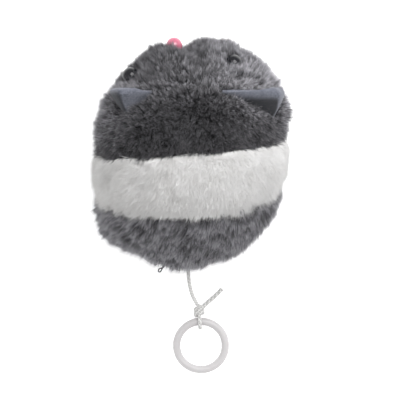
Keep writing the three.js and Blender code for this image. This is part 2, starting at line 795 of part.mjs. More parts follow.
bossPlaces.forEach((place, index) => {
  const tip = cordLevel - screwGrip;
  const neck = headSeat + pinGap;
  const profile = [[0, tip], [screwRadius, tip], [screwRadius, neck], [screwHeadRadius, neck],
    [screwHeadRadius, neck + screwHeadHeight - pinGap], [0, neck + screwHeadHeight - pinGap]];
  const screw = piece(`case_screw_${index + 1}`, turned(profile, 12), steel, shaker);
  screw.position.set(place.x, place.y, 0);
});

const bushProfile = (() => {
  const bore = cordRadius + cordGap;
  const inside = caseWall + pinGap;
  const outside = -pinGap;
  return [
    [bore, outside - bushFlange],
    [bushFlangeRadius, outside - bushFlange],
    [bushFlangeRadius, outside],
    [bushRadius, outside],
    [bushRadius, inside],
    [bushFlangeRadius, inside],
    [bushFlangeRadius, inside + bushFlange],
    [bore, inside + bushFlange],
    [bore, outside - bushFlange],
  ];
})();
const bush = piece('cord_bush', turned(bushProfile, 16).rotateX(-Math.PI / 2), gearPlastic, shaker);
bush.position.set(exitX, caseRear, cordLevel);

// Pouch on the case, and the stuffing that fills the rest
const pouchLevel = caseBottom + caseHeight + seatGap + pouchHalf.z;
const pouchCentre = new THREE.Vector3(pouchPlace.x, pouchPlace.y, pouchLevel);
function pillow(grow) {
  const geometry = new THREE.SphereGeometry(1, 16, 10);
  geometry.scale(pouchHalf.x + grow, pouchHalf.y + grow, pouchHalf.z + grow);
  return geometry.translate(pouchCentre.x, pouchCentre.y, pouchCentre.z);
}
piece('catnip_pouch', pillow(0), cottonCloth);

function stuffingBlank() {
  const surface = new Surface();
  const rows = 10;
  const depth = -(skinThickness + seatGap);
  const rings = [];
  for (let i = 1; i < rows; i += 1) {
    rings.push(surface.ring(panelRow(noseEnd, tailEnd, i / rows, depth, false)));
  }
  for (let i = 0; i + 1 < rings.length; i += 1) surface.band(rings[i], rings[i + 1]);
  surface.fan(rings[0].slice().reverse(), surface.add(skinPoint(bodyHalfLength, 0, depth)));
  surface.fan(rings.at(-1), surface.add(skinPoint(-bodyHalfLength, 0, depth)));
  return surface.geometry();
}
const caseRoom = placed(caseBlock(seatGap, -seatGap, caseHeight + seatGap), shaker);
const bushRoom = placed(
  rodAlongY(exitX, cordLevel, bushFlangeRadius + seatGap, caseRear, caseRear - bushFlange - pinGap - seatGap),
  shaker,
);
const cordTunnel = rodAlongY(exitPlace.x, exitPlace.z, tunnelRadius, 0, -2 * bodyHalfLength, 12);
const pouchDoor = post(pouchNeck, caseBottom + caseHeight - caseWall, pouchCentre.z)
  .translate(pouchCentre.x, pouchCentre.y, 0);
const stuffingCuts = [caseRoom, bushRoom, cordTunnel, pillow(seatGap), pouchDoor, ...pockets];
piece('stuffing', cut(stuffingBlank(), ...stuffingCuts), polyesterFill);

// Ring, lying on the floor with its near side propped up by the loop under it
const ringHolder = new THREE.Group();
ringHolder.position.set(ringNear.x, ringNear.y, ringNearHeight);
ringHolder.rotation.x = ringTilt;
mouse.add(ringHolder);
const ringTorus = new THREE.TorusGeometry(ringRadius, ringSectionRadius, 10, 32);
const ring = piece('pull_ring', ringTorus, ringPlastic, ringHolder);
ring.position.y = -ringRadius;

// Loop round the ring, open where it goes into the knot
class RingLoop extends THREE.Curve {
  getPoint(share, target = new THREE.Vector3()) {
    const angle = loopStart + (2 * Math.PI - 2 * loopStart) * share;
    return target.set(0, loopRadius * Math.cos(angle), loopRadius * Math.sin(angle));
  }
}
const loop = piece('cord_loop', tube(new RingLoop(), cordDiameter, 16, 8), braidedCord);
loop.position.set(ringNear.x, ringNear.y, ringNearHeight);

// Knot: two wraps of cord round the line of pull
function wraps(count) {
  const profile = [[0, -knotLength / 2]];
  const steps = 4;
  const wrap = knotLength / count;
  for (let i = 0; i < count; i += 1) {
    for (let k = 1; k < steps; k += 1) {
      const turn = (Math.PI * k) / steps;
      const height = -knotLength / 2 + wrap * (i + (1 - Math.cos(turn)) / 2);
      profile.push([knotRadius - (wrap / 2) * (1 - Math.sin(turn)), height]);
    }
  }
  profile.push([0, knotLength / 2]);
  return turned(profile, 12).rotateX(-Math.PI / 2);
}
const knot = piece('cord_knot', wraps(2), braidedCord);
knot.position.copy(knotPlace);

// Loose cut end, from the knot down to the floor
const endFoot = new THREE.Vector3(endTip.x, endTip.y, endDiameter / 2 + floorGap);
const endWay = endFoot.clone().sub(knotPlace).normalize();
const endStart = knotPlace.clone().addScaledVector(endWay, knotRadius + seatGap);
piece('cord_end', tube(new THREE.LineCurve3(endStart, endFoot), endDiameter, 3, 8), braidedCord);

// Free stretch of the cord, straight out of the plush and then down to the knot
const routePoints = cordRoute.map((point) => new THREE.Vector3(...point));
const knotWay = routePoints.at(-1).clone().sub(knotPlace).normalize();
const cordPoints = [
  new THREE.Vector3(exitPlace.x, cordJoin - seatGap, exitPlace.z),
  new THREE.Vector3(exitPlace.x, exitRear, exitPlace.z),
  ...routePoints,
  knotPlace.clone().addScaledVector(knotWay, knotRadius + seatGap),
];
piece('pull_cord', tube(new THREE.CatmullRomCurve3(cordPoints), cordDiameter, 16, 8), braidedCord);

export default mouse;
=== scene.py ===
import json
import math

import bmesh
import bpy
import numpy as np
from mathutils import Matrix, Vector, noise
from mathutils.bvhtree import BVHTree


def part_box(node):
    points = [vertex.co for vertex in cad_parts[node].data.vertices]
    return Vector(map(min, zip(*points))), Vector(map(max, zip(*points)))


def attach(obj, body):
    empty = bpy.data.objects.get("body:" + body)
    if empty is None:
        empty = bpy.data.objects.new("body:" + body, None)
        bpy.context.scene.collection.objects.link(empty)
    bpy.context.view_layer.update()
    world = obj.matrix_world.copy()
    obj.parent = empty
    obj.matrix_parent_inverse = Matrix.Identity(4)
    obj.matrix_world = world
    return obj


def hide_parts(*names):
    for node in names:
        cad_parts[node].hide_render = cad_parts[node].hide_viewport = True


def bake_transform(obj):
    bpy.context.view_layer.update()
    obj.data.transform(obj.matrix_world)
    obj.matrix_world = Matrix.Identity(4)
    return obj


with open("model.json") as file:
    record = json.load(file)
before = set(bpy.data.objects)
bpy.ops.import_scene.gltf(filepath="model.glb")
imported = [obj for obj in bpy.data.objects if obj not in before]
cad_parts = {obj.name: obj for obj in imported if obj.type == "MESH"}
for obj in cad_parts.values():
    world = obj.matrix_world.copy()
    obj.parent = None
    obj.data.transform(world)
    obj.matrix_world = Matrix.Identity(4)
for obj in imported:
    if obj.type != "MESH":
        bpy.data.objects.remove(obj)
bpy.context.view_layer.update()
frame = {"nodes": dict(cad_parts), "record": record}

mm = 0.001
scene = bpy.context.scene
print("frame loaded:", len(frame["nodes"]), "nodes")


# Node wiring, for materials and for geometry trees alike
class Wire:
    def __init__(self, nodes, socket):
        self.nodes = nodes
        self.socket = socket

    def out(self, key):  # another output of the same node
        return Wire(self.nodes, self.socket.node.outputs[key])

    def __add__(self, other):
        return self.nodes.maths("ADD", self, other)

    def __sub__(self, other):
        return self.nodes.maths("SUBTRACT", self, other)

    def __rsub__(self, other):
        return self.nodes.maths("SUBTRACT", other, self)

    def __mul__(self, other):
        return self.nodes.maths("MULTIPLY", self, other)

    def __truediv__(self, other):
        return self.nodes.maths("DIVIDE", self, other)

    def __pow__(self, other):
        return self.nodes.maths("POWER", self, other)


class Nodes:
    def __init__(self, tree):
        self.tree = tree

    def add(self, kind, settings=None, sockets=None, output=0):
        node = self.tree.nodes.new(kind)
        for name, value in (settings or {}).items():
            if name == "stops":
                self.setStops(node.color_ramp, value)
            else:
                setattr(node, name, value)
        for key, value in (sockets or {}).items():
            if isinstance(value, Wire):
                self.tree.links.new(value.socket, node.inputs[key])
            else:
                node.inputs[key].default_value = value
        return Wire(self, node.outputs[output])

    def setStops(self, ramp, stops):
        while len(ramp.elements) < len(stops):
            ramp.elements.new(1.0)
        for element, (place, colour) in zip(ramp.elements, stops):
            element.position = place
            element.color = (*colour, 1.0)

    def maths(self, operation, *values):
        return self.add("ShaderNodeMath", {"operation": operation}, dict(enumerate(values)))

    def vector(self, operation, first, second):
        return self.add("ShaderNodeVectorMath", {"operation": operation}, {0: first, 1: second})

    def scaled(self, vector, amount):
        return self.add("ShaderNodeVectorMath", {"operation": "SCALE"}, {0: vector, 3: amount})

    def mix(self, amount, first, second, blend="MIX"):
        settings = {"data_type": "RGBA", "blend_type": blend}
        return self.add("ShaderNodeMix", settings, {0: amount, 6: first, 7: second}, output=2)

    def ramp(self, value, stops):
        return self.add("ShaderNodeValToRGB", {"stops": stops}, {0: value})

    def place(self):  # where a point is on its piece
        return self.add("ShaderNodeTexCoord", output="Object")

    def noise(self, scale, detail=2.0, place=None):
        return self.add("ShaderNodeTexNoise", {}, {0: place or self.place(), 2: scale, 3: detail})

    def store(self, geometry, name, value, kind="FLOAT", domain="POINT"):
        settings = {"data_type": kind, "domain": domain}
        return self.add("GeometryNodeStoreNamedAttribute", settings, {0: geometry, 2: name, 3: value})

    def spread(self, value, low, high):  # a 0 to 1 value onto a range
        return value * (high - low) + low


def rgb(*parts):
    return (*parts, 1.0)


def makeLook(name, paint, *values, **fixed):
    material = bpy.data.materials.new(name)
    material.use_nodes = True
    nodes = Nodes(material.node_tree)
    shader = material.node_tree.nodes["Principled BSDF"]
    for socket, value in fixed.items():
        shader.inputs[socket.replace("_", " ")].default_value = value
    for socket, wire in paint(nodes, *values).items():
        nodes.tree.links.new(wire.socket, shader.inputs[socket])
    return material


def bumped(nodes, height, strength, depth):
    return nodes.add("ShaderNodeBump", {}, {"Height": height, "Strength": strength, "Distance": depth})


def placed(name, data):
    piece = bpy.data.objects.new(name, data)
    scene.collection.objects.link(piece)
    return piece


# Camera: straight down on the back, the mouse turned a little to the left
view = dict(height=0.65, aim=(0.00297, -0.01778), turn=math.radians(3), frameWidth=0.164,
            sensor=36, near=0.01)
camera = placed("camera", bpy.data.cameras.new("camera"))
camera.location = (*view["aim"], view["height"])
camera.rotation_euler = (0, 0, -view["turn"])
camera.data.sensor_width = view["sensor"]
camera.data.lens = view["sensor"] * view["height"] / view["frameWidth"]
camera.data.clip_start = view["near"]
scene.camera = camera
scene.view_settings.view_transform = "Standard"

# Light: a wide key from the front right, a weak one from the left, and a bright room
lamps = dict(
    key=dict(place=(0.2, 0.22, 0.6), size=0.42, power=4.4),
    fill=dict(place=(-0.45, -0.2, 0.45), size=0.5, power=0.3),
    aim=(0, -0.01, 0.03), room=0.84,
)
for lampName in ("key", "fill"):
    lamp = lamps[lampName]
    lampObject = placed(lampName, bpy.data.lights.new(lampName, "AREA"))
    lampObject.data.size = lamp["size"]
    lampObject.data.energy = lamp["power"]
    lampObject.location = lamp["place"]
    toMouse = Vector(lamps["aim"]) - Vector(lamp["place"])
    lampObject.rotation_euler = toMouse.to_track_quat("-Z", "Y").to_euler()
room = bpy.data.worlds.new("room")
room.use_nodes = True
room.node_tree.nodes["Background"].inputs["Color"].default_value = rgb(1.0, 1.0, 1.0)
room.node_tree.nodes["Background"].inputs["Strength"].default_value = lamps["room"]
scene.world = room


# Mesh helpers: every finished piece sits at the origin with its place in its mesh
def smoothObject(name, mesh, smooth=True):
    mesh.polygons.foreach_set("use_smooth", [smooth] * len(mesh.polygons))
    return placed(name, mesh)


def meshObject(name, points, faces, smooth=True, edges=()):
    mesh = bpy.data.meshes.new(name)
    mesh.from_pydata([tuple(point) for point in points], edges, faces)
    mesh.update()
    return smoothObject(name, mesh, smooth)


def workObject(name, work, smooth=True):  # an object of what a bmesh holds
    mesh = bpy.data.meshes.new(name)
    work.to_mesh(mesh)
    work.free()
    return smoothObject(name, mesh, smooth)


def gridFaces(rows, columns, closedRows=False, closedColumns=True):  # quads between rows of points
    faces = []
    for row in range(rows if closedRows else rows - 1):
        here = row * columns
        beyond = (row + 1) % rows * columns
        for column in range(columns if closedColumns else columns - 1):
            other = (column + 1) % columns
            faces.append((here + column, here + other, beyond + other, beyond + column))
    return faces


def meshPoints(piece, field="co"):
    values = np.zeros(len(piece.data.vertices) * 3)
    piece.data.vertices.foreach_get(field, values)
    return values.reshape(-1, 3)


def meshNormals(piece):
    return meshPoints(piece, "normal")


def movePoints(piece, points):
    piece.data.vertices.foreach_set("co", np.ascontiguousarray(points).ravel())
    piece.data.update()


def meshNow(piece):  # the mesh that the modifiers make
    depsgraph = bpy.context.evaluated_depsgraph_get()
    return bpy.data.meshes.new_from_object(piece.evaluated_get(depsgraph), depsgraph=depsgraph)


def settled(piece):  # modifiers applied, the result a plain mesh
    mesh = meshNow(piece)
    piece.modifiers.clear()
    piece.data = mesh
    return piece


def modified(piece, kind, **settings):
    modifier = piece.modifiers.new(kind.lower(), kind)
    for name, value in settings.items():
        setattr(modifier, name, value)
    return piece


def outward(piece):
    work = bmesh.new()
    work.from_mesh(piece.data)
    bmesh.ops.remove_doubles(work, verts=work.verts, dist=1e-6)
    bmesh.ops.recalc_face_normals(work, faces=work.faces)
    work.to_mesh(piece.data)
    work.free()
    return piece


def finishPiece(piece, carrier, slot, look, *nodes):
    piece.data.materials.clear()
    piece.data.materials.append(look)
    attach(piece, carrier)
    if nodes:
        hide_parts(*nodes)
    return piece


def makeTree(name, numbers, **others):
    tree = bpy.data.node_groups.new(name, "GeometryNodeTree")
    tree.interface.new_socket("Geometry", in_out="INPUT", socket_type="NodeSocketGeometry")
    tree.interface.new_socket("Geometry", in_out="OUTPUT", socket_type="NodeSocketGeometry")
    for label, kind in {**dict.fromkeys(numbers, "Float"), **others}.items():
        tree.interface.new_socket(label, in_out="INPUT", socket_type="NodeSocket" + kind)
    nodes = Nodes(tree)
    return tree, nodes, nodes.add("NodeGroupInput")


def endTree(nodes, geometry, look):
    smooth = nodes.add("GeometryNodeSetShadeSmooth", {}, {0: geometry})
    dressed = nodes.add("GeometryNodeSetMaterial", {}, {0: smooth, 2: look})
    end = nodes.tree.nodes.new("NodeGroupOutput")
    nodes.tree.links.new(dressed.socket, end.inputs[0])


def giveTree(piece, tree, values):  # a modifier that takes its inputs from the values by name
    modifier = piece.modifiers.new(tree.name, "NODES")
    modifier.node_group = tree
    for item in tree.interface.items_tree:
        if item.in_out == "INPUT" and item.name in values:
            modifier[item.identifier] = values[item.name]
    return piece


def routeCurve(name, points, **settings):
    curve = bpy.data.curves.new(name, "CURVE")
    curve.dimensions = "3D"
    for field, value in settings.items():
        setattr(curve, field, value)
    spline = curve.splines.new("POLY")
    spline.points.add(len(points) - 1)
    for point, place in zip(spline.points, points):
        point.co = (*place, 1.0)
    return placed(name, curve)


def curvePiece(name, route):  # the mesh that a route's curve makes, in place of the route
    mesh = meshNow(route)
    bpy.data.objects.remove(route)
    return placed(name, mesh)


# Floor: a white sweep that stays bright under the toy
floorWhite = dict(half=1.5, glow=0.5)


def floorPaint(nodes):
    grain = nodes.noise(40.0)
    return {"Roughness": nodes.spread(grain, 0.75, 0.9)}


floorLook = makeLook("sweep", floorPaint, Base_Color=rgb(0.92, 0.92, 0.92),
                     Emission_Color=rgb(1.0, 1.0, 1.0), Emission_Strength=floorWhite["glow"])
half = floorWhite["half"]
corners = [(side * half, end * half, 0) for side, end in ((-1, -1), (1, -1), (1, 1), (-1, 1))]
floor = meshObject("floor", corners, [(0, 1, 2, 3)], smooth=False)
floor.data.materials.append(floorLook)
print("camera, light and floor are set")


# Braid: eight yarns that pass over and under each other round a core
cord = dict(thick=0.0015, pitch=0.0038, layRadius=0.00051, yarnRadius=0.00024, weaveDepth=0.00008,
            step=0.00025, perHand=4, darkYarn=0.3, yarnSides=6, coreSides=8)


def makeBraidTree():
    numbers = ("pitch", "layRadius", "yarnRadius", "weaveDepth", "step")
    tree, nodes, start = makeTree("braid", numbers, look="Material")
    perHand = cord["perHand"]
    run = nodes.add("GeometryNodeResampleCurve", {"mode": "LENGTH"}, {0: start, 3: start.out("step")})
    copies = nodes.add("GeometryNodeDuplicateElements", {"domain": "SPLINE"}, {0: run, 2: perHand * 2})
    index = copies.out("Duplicate Index")
    second = nodes.maths("GREATER_THAN", index, perHand - 0.5)
    hand = 1.0 - second * 2.0
    turn = nodes.add("GeometryNodeSplineParameter", output="Length") / start.out("pitch") * (2 * math.pi)
    angle = turn * hand + index * (2 * math.pi / perHand) + second * (math.pi / perHand)
    over = nodes.maths("SINE", turn * perHand)
    away = start.out("layRadius") + over * hand * start.out("weaveDepth")
    normal = nodes.add("GeometryNodeInputNormal")
    side = nodes.vector("CROSS_PRODUCT", nodes.add("GeometryNodeInputTangent"), normal)
    outAlong = away * nodes.maths("COSINE", angle)
    sideAlong = away * nodes.maths("SINE", angle)
    offset = nodes.vector("ADD", nodes.scaled(normal, outAlong), nodes.scaled(side, sideAlong))
    yarns = nodes.add("GeometryNodeSetPosition", {}, {0: copies, 3: offset})
    tone = nodes.maths("MODULO", index, 2.0) * -cord["darkYarn"] + 1.0
    yarns = nodes.store(yarns, "yarn", tone)
    join = nodes.add("GeometryNodeJoinGeometry")
    for curve, sides, radius in ((yarns, "yarnSides", "yarnRadius"), (run, "coreSides", "layRadius")):
        ring = nodes.add("GeometryNodeCurvePrimitiveCircle", {}, {0: cord[sides], 4: start.out(radius)})
        tubes = nodes.add("GeometryNodeCurveToMesh", {}, {0: curve, 1: ring, "Fill Caps": True})
        nodes.tree.links.new(tubes.socket, join.socket.node.inputs[0])
    endTree(nodes, nodes.add("GeometryNodeRealizeInstances", {}, {0: join}), start.out("look"))
    return tree


def smoothRoute(points, count, fine=40):  # one smooth curve through the points, in even steps
    knots = [Vector(point) * mm for point in points]
    knots = [knots[0] * 2 - knots[1]] + knots + [knots[-1] * 2 - knots[-2]]
    dense = []
    for first, a, b, last in zip(knots, knots[1:], knots[2:], knots[3:]):
        t0 = (a - first).length ** 0.5
        t1 = t0 + (b - a).length ** 0.5
        t2 = t1 + (last - b).length ** 0.5
        for t in np.linspace(t0, t1, fine):
            low = first.lerp(a, t / t0)
            mid = a.lerp(b, (t - t0) / (t1 - t0))
            high = b.lerp(last, (t - t1) / (t2 - t1))
            before = low.lerp(mid, t / t1)
            after = mid.lerp(high, (t - t0) / (t2 - t0))
            dense.append(before.lerp(after, (t - t0) / (t1 - t0)))
    dense = np.array(dense)
    gone = np.concatenate([[0], np.cumsum(np.linalg.norm(np.diff(dense, axis=0), axis=1))])
    even = np.linspace(0, gone[-1], count)
    return np.stack([np.interp(even, gone, dense[:, axis]) for axis in range(3)], axis=1), gone[-1]


def cordPaint(nodes):
    fibre = nodes.noise(2600.0, 3.0)
    soil = nodes.noise(160.0)
    pale = nodes.ramp(nodes.spread(fibre, 0.1, 0.7) + soil * 0.3,
                      [(0.25, (0.47, 0.466, 0.46)), (0.7, (0.76, 0.755, 0.745))])
    yarn = nodes.add("ShaderNodeAttribute", {"attribute_name": "yarn"}, output="Fac")
    return {"Base Color": nodes.mix(yarn, rgb(0.035, 0.035, 0.035), pale),
            "Roughness": nodes.spread(fibre, 0.65, 0.9), "Normal": bumped(nodes, fibre, 0.5, 0.0002)}


cordLook = makeLook("braided polyester", cordPaint, Sheen_Weight=0.15)
braidTree = makeBraidTree()


def braided(name, points, **changes):
    values = {**cord, **changes, "look": cordLook}
    return curvePiece(name, giveTree(routeCurve(name + "Route", points), braidTree, values))


pull = dict(  # the cord's way out of the plush and down to its knot, as in the solids (mm)
    exit=(-3.15, -44.16, 24.95),
    route=[(-3.15, -40.46, 24.95), (-3.15, -44.16, 24.95), (-3.1, -48.4, 23.6), (-2.8, -52, 20),
           (-2.3, -54.9, 15.4), (-1.6, -57.2, 10.8), (-0.9, -58.9, 7.6), (-0.2, -60.4, 5.7)],
    knot=(0.3, -63.2, 3.4), knotRadius=1.55, knotTurns=2.8, knotLength=2.9, knotSlant=0.35,
    ringNear=(0.3, -67.2, 3.4), loopRadius=2.6, loopStart=math.radians(23.8), loopInto=(0.9, 0.55),
    looseRoute=[(1.6, -61.7, 3.0), (3.7, -59.9, 2.1), (6.9, -57.5, 1.1), (10.1, -54.7, 0.95)],
    looseBraid=dict(pitch=0.0044, layRadius=0.00062, yarnRadius=0.00028),
    drum=(5.9, -10.0), windRadius=9.05, windTurns=4.5, windRise=2.0, windStart=24.95, windStep=0.0006,
    feedFrom=-12.0, feedTo=-40.16, feedStep=0.0005,
    counts=dict(route=60, loop=40, wrap=60, knot=90, loose=40, turn=48, feed=30),
)
counts = pull["counts"]
pullPoints, pullLength = smoothRoute(pull["route"], counts["route"])
pullCord = braided("pullCord", pullPoints)
ringX, ringY, ringZ = pull["ringNear"]
sweep = np.linspace(pull["loopStart"], 2 * math.pi - pull["loopStart"], counts["loop"])
loopPoints = np.stack([np.full_like(sweep, ringX), ringY + pull["loopRadius"] * np.cos(sweep),
                       ringZ + pull["loopRadius"] * np.sin(sweep)], axis=1) * mm
knotX, knotY, knotZ = pull["knot"]
into, apart = pull["loopInto"]
intoKnot = [np.array([(knotX, knotY - into, knotZ + side * apart)]) * mm for side in (1, -1)]
cordLoop = braided("cordLoop", np.concatenate([intoKnot[0], loopPoints, intoKnot[1]]))
wrap = np.linspace(0, 1, counts["wrap"])
wrapTurn = wrap * pull["knotTurns"] * 2 * math.pi
wraps = np.stack([knotX + pull["knotRadius"] * np.cos(wrapTurn),
                  knotY - pull["knotLength"] * (wrap - 0.5) + pull["knotSlant"] * np.sin(wrapTurn),
                  knotZ + pull["knotRadius"] * np.sin(wrapTurn)], axis=1)
cordKnot = braided("cordKnot", smoothRoute([pull["route"][-1], *wraps[::3]], counts["knot"])[0])
loosePoints = smoothRoute(pull["looseRoute"], counts["loose"])[0]
looseEnd = braided("looseEnd", loosePoints, **pull["looseBraid"])
wind = np.linspace(0, 1, int(pull["windTurns"] * counts["turn"]))
windTurn = math.pi - wind * pull["windTurns"] * 2 * math.pi
windPoints = np.stack([pull["drum"][0] + pull["windRadius"] * np.cos(windTurn),
                       pull["drum"][1] + pull["windRadius"] * np.sin(windTurn),
                       pull["windStart"] + wind * pull["windTurns"] * pull["windRise"]], axis=1) * mm
woundCord = braided("woundCord", windPoints, step=pull["windStep"])
feedEnds = [(pull["route"][0][0], y, pull["windStart"]) for y in (pull["feedFrom"], pull["feedTo"])]
feedCord = braided("feedCord", np.linspace(*feedEnds, counts["feed"]) * mm, step=pull["feedStep"])
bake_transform(pullCord)
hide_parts("pull_cord")
for piece, carrier, node in ((cordLoop, "pull", "cord_loop"), (cordKnot, "pull", "cord_knot"),
                             (looseEnd, "pull", "cord_end"), (woundCord, "drum", "wound_cord"),
                             (feedCord, "mouse", "feed_cord")):
    finishPiece(piece, carrier, "braided_cord", cordLook, node)
print("cord braided,", round(pullLength * 1000, 1), "mm from hole to knot")


# Body: the plush skin under the pile, swelled by its filling
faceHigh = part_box("face_panel")[1]
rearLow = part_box("rear_panel")[0]
bandLow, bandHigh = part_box("middle_band")
body = dict(
    halfWidth=(bandHigh.x - bandLow.x) / 2, halfLength=(faceHigh.y - rearLow.y) / 2, rings=56, spokes=96,
    crown=0.031, belly=0.0315, centre=0.031, lean=0.07,
    lengthRoundness=2.3, crownRoundness=2.1, bellyRoundness=2.6,
    inset=-0.0048, cloth=0.0012, voxel=0.004, pinReach=0.0024, pressure=4.0, cap=0.0016,
    seams=dict(ear=(0.0254, 0.0, 0.0), front=(0.0034, -0.142, 0.035), rear=(-0.0131, -0.365, 0.0)),
    tuck=0.0008, tuckReach=0.003,
    swells=[dict(place=(0.034, 0.023, 0.036), reach=0.012, lift=0.0034),  # right cheek
            dict(place=(-0.024, 0.037, 0.036), reach=0.008, lift=-0.0012),
            dict(place=(-0.036, -0.027, 0.03), reach=0.01, lift=0.0048),  # rear left
            dict(place=(-0.003, 0.042, 0.034), reach=0.007, lift=-0.003),  # behind the nose
            dict(place=(-0.02, -0.042, 0.028), reach=0.011, lift=-0.005),
            dict(place=(0.014, -0.044, 0.028), reach=0.009, lift=-0.0008),
            dict(place=(0.011, 0.041, 0.034), reach=0.006, lift=-0.0022)],
    crease=dict(x=0.0054, y=0.0294, slant=-0.5, depth=0.0045, reach=0.003,
                fromY=0.022, fade=0.012, above=0.8),
    hump=dict(lift=0.0018, beside=0.0095, reach=0.006),
)
crease, hump = body["crease"], body["hump"]


def powered(value, power):
    return np.sign(value) * np.abs(value) ** power


def smoothStep(value, low, high):
    share = np.clip((value - low) / (high - low), 0, 1)
    return share * share * (3 - 2 * share)


def skinPoint(station, angle, offset=0.0):
    share = np.minimum(np.abs(station) / body["halfLength"], 1.0)
    swell = (1 - share ** body["lengthRoundness"]) ** (1 / body["lengthRoundness"])
    cosine, sine = np.cos(angle), np.sin(angle)
    roundness = np.where(sine < 0, body["bellyRoundness"], body["crownRoundness"])
    height = np.where(sine < 0, body["belly"], body["crown"]) + offset
    y = station * (1 + offset / body["halfLength"])
    x = (body["halfWidth"] + offset) * powered(cosine, 2 / roundness) * swell + body["lean"] * y
    z = body["centre"] + height * powered(sine, 2 / roundness) * swell
    return np.stack(np.broadcast_arrays(x, y, z), axis=-1)


def skinFrame(behind, fromTop):  # a seat on the outside, and the way straight out of it
    station, angle = body["halfLength"] - behind, math.radians(90 - fromTop)
    place = skinPoint(station, angle)
    alongLength = skinPoint(station + 1e-5, angle) - skinPoint(station - 1e-5, angle)
    alongAngle = skinPoint(station, angle + 1e-3) - skinPoint(station, angle - 1e-3)
    way = Vector(np.cross(alongAngle, alongLength)).normalized()
    middle = Vector((0, 0, body["centre"]))
    return Vector(place), way if way.dot(Vector(place) - middle) > 0 else -way


def seamY(seam, points):  # a seam's place along the body: at the side, its slant upwards and its skew
    side, slant, skew = body["seams"][seam]
    return side + slant * (points[:, 2] - body["centre"]) + skew * points[:, 0]


def closedSkin():
    rings, spokes = body["rings"], body["spokes"]
    turns = np.linspace(-math.pi / 2, math.pi / 2, rings)[1:-1]
    stations = body["halfLength"] * powered(np.sin(turns), 2 / body["lengthRoundness"])
    angles = np.linspace(0, 2 * math.pi, spokes, endpoint=False)
    grid = skinPoint(stations[:, None], angles[None, :], body["inset"]).reshape(-1, 3)
    ends = [skinPoint(np.array(s * body["halfLength"]), np.array(0.0), body["inset"]) for s in (-1, 1)]
    faces = gridFaces(rings - 2, spokes)
    last = (rings - 3) * spokes
    for spoke in range(spokes):
        other = (spoke + 1) % spokes
        faces.append((len(grid), other, spoke))
        faces.append((len(grid) + 1, last + spoke, last + other))
    return outward(meshObject("skin", np.concatenate([grid, ends]), faces))


def puffed(piece, pinned, settings, frames=20):  # swell a closed piece, its pinned points held
    rest = meshPoints(piece)
    group = piece.vertex_groups.new(name="sewn")
    group.add([int(i) for i in np.nonzero(pinned(rest))[0]], 1.0, "REPLACE")
    cloth = piece.modifiers.new("cloth", "CLOTH")
    cloth.settings.use_pressure = True
    cloth.settings.uniform_pressure_force = settings["pressure"]
    cloth.settings.effector_weights.gravity = 0
    cloth.settings.vertex_group_mass = "sewn"
    cloth.point_cache.frame_start, cloth.point_cache.frame_end = 1, frames
    for step in range(1, frames + 1):
        scene.frame_set(step)
    settled(piece)
    scene.frame_set(1)
    piece.vertex_groups.clear()
    moved = meshPoints(piece) - rest
    far = np.linalg.norm(moved, axis=1, keepdims=True)
    movePoints(piece, rest + moved * np.minimum(1.0, settings["cap"] / np.maximum(far, 1e-9)))
    return piece


def remeshed(piece, size):
    return settled(modified(piece, "REMESH", mode="VOXEL", voxel_size=size))


def subdivided(piece):
    return settled(modified(piece, "SUBSURF", levels=1, render_levels=1))


def besideCrease(points):  # how far right of the parting on the forehead
    return points[:, 0] - crease["x"] - crease["slant"] * (points[:, 1] - crease["y"])


def alongCrease(points):  # 1 in the parting, 0 away from it
    return np.exp(-(besideCrease(points) / crease["reach"]) ** 2)


def nearSeam(points):
    near = [np.abs(points[:, 1] - seamY(seam, points)) for seam in body["seams"]]
    return np.min(near, axis=0)


skin = remeshed(closedSkin(), body["voxel"])
puffed(skin, lambda points: nearSeam(points) < body["pinReach"], body)
subdivided(skin)
points, normals = meshPoints(skin), meshNormals(skin)
tuck = body["tuck"] * np.exp(-(nearSeam(points) / body["tuckReach"]) ** 2)
front = np.clip((points[:, 1] - crease["fromY"]) / crease["fade"], 0, 1)
front *= points[:, 2] > body["centre"] * crease["above"]
humps = np.exp(-((np.abs(besideCrease(points)) - hump["beside"]) / hump["reach"]) ** 2)
lift = front * (hump["lift"] * humps - crease["depth"] * alongCrease(points)) - tuck
for swell in body["swells"]:
    away = (points - np.array(swell["place"])) / swell["reach"]
    lift += swell["lift"] * np.exp(-np.sum(away ** 2, axis=1))
movePoints(skin, points + normals * lift[:, None])
print("skin swelled and tucked,", len(points), "points")


def panelOf(name, frontSeam, rearSeam):  # the skin between two seams, as an open sheet
    work = bmesh.new()
    work.from_mesh(skin.data)
    for seam, sign in ((frontSeam, 1), (rearSeam, -1)):
        if seam:
            side, slant, skew = body["seams"][seam]
            bmesh.ops.bisect_plane(work, geom=work.verts[:] + work.edges[:] + work.faces[:],
                                   plane_co=(0, side, body["centre"]),
                                   plane_no=(-sign * skew, sign, -sign * slant),
                                   clear_outer=True)
    return workObject(name, work)


# Ears: felt hoods, sewn down at the root, standing open towards the nose
ears = dict(
    # each ear's painted shade, as (inside the ridge, outside it): 1 leaves the felt as it is, low values
    # darken the face turned from the key light
    leftEar=dict(node="left_ear", inner=-26.5, ridge=-37, outer=-61.5, root=-46, lift=0.008, lip=0.08,
                 nap=(0.9, 0.1), behind=(0.0202, 0.0202, 0.0191), back=0.0286, outerTuck=0.0004),
    rightEar=dict(node="right_ear", inner=20.5, ridge=44, outer=77, root=68, lift=0.009, lip=0.24,
                  nap=(0.02, 0.9), behind=(0.0216, 0.0227, 0.0217), back=0.0325, outerTuck=0.0006),
    rootSpread=3, felt=0.0012, edge=0.00036, seat=0.0003, rows=24, columns=40, tuckIn=0.0052, tuckPower=1.15,
    innerTuck=0.0022, ridgeRound=0.04, lipTurn=0.3, paintedLightFade=(0.5, 1.3),
)


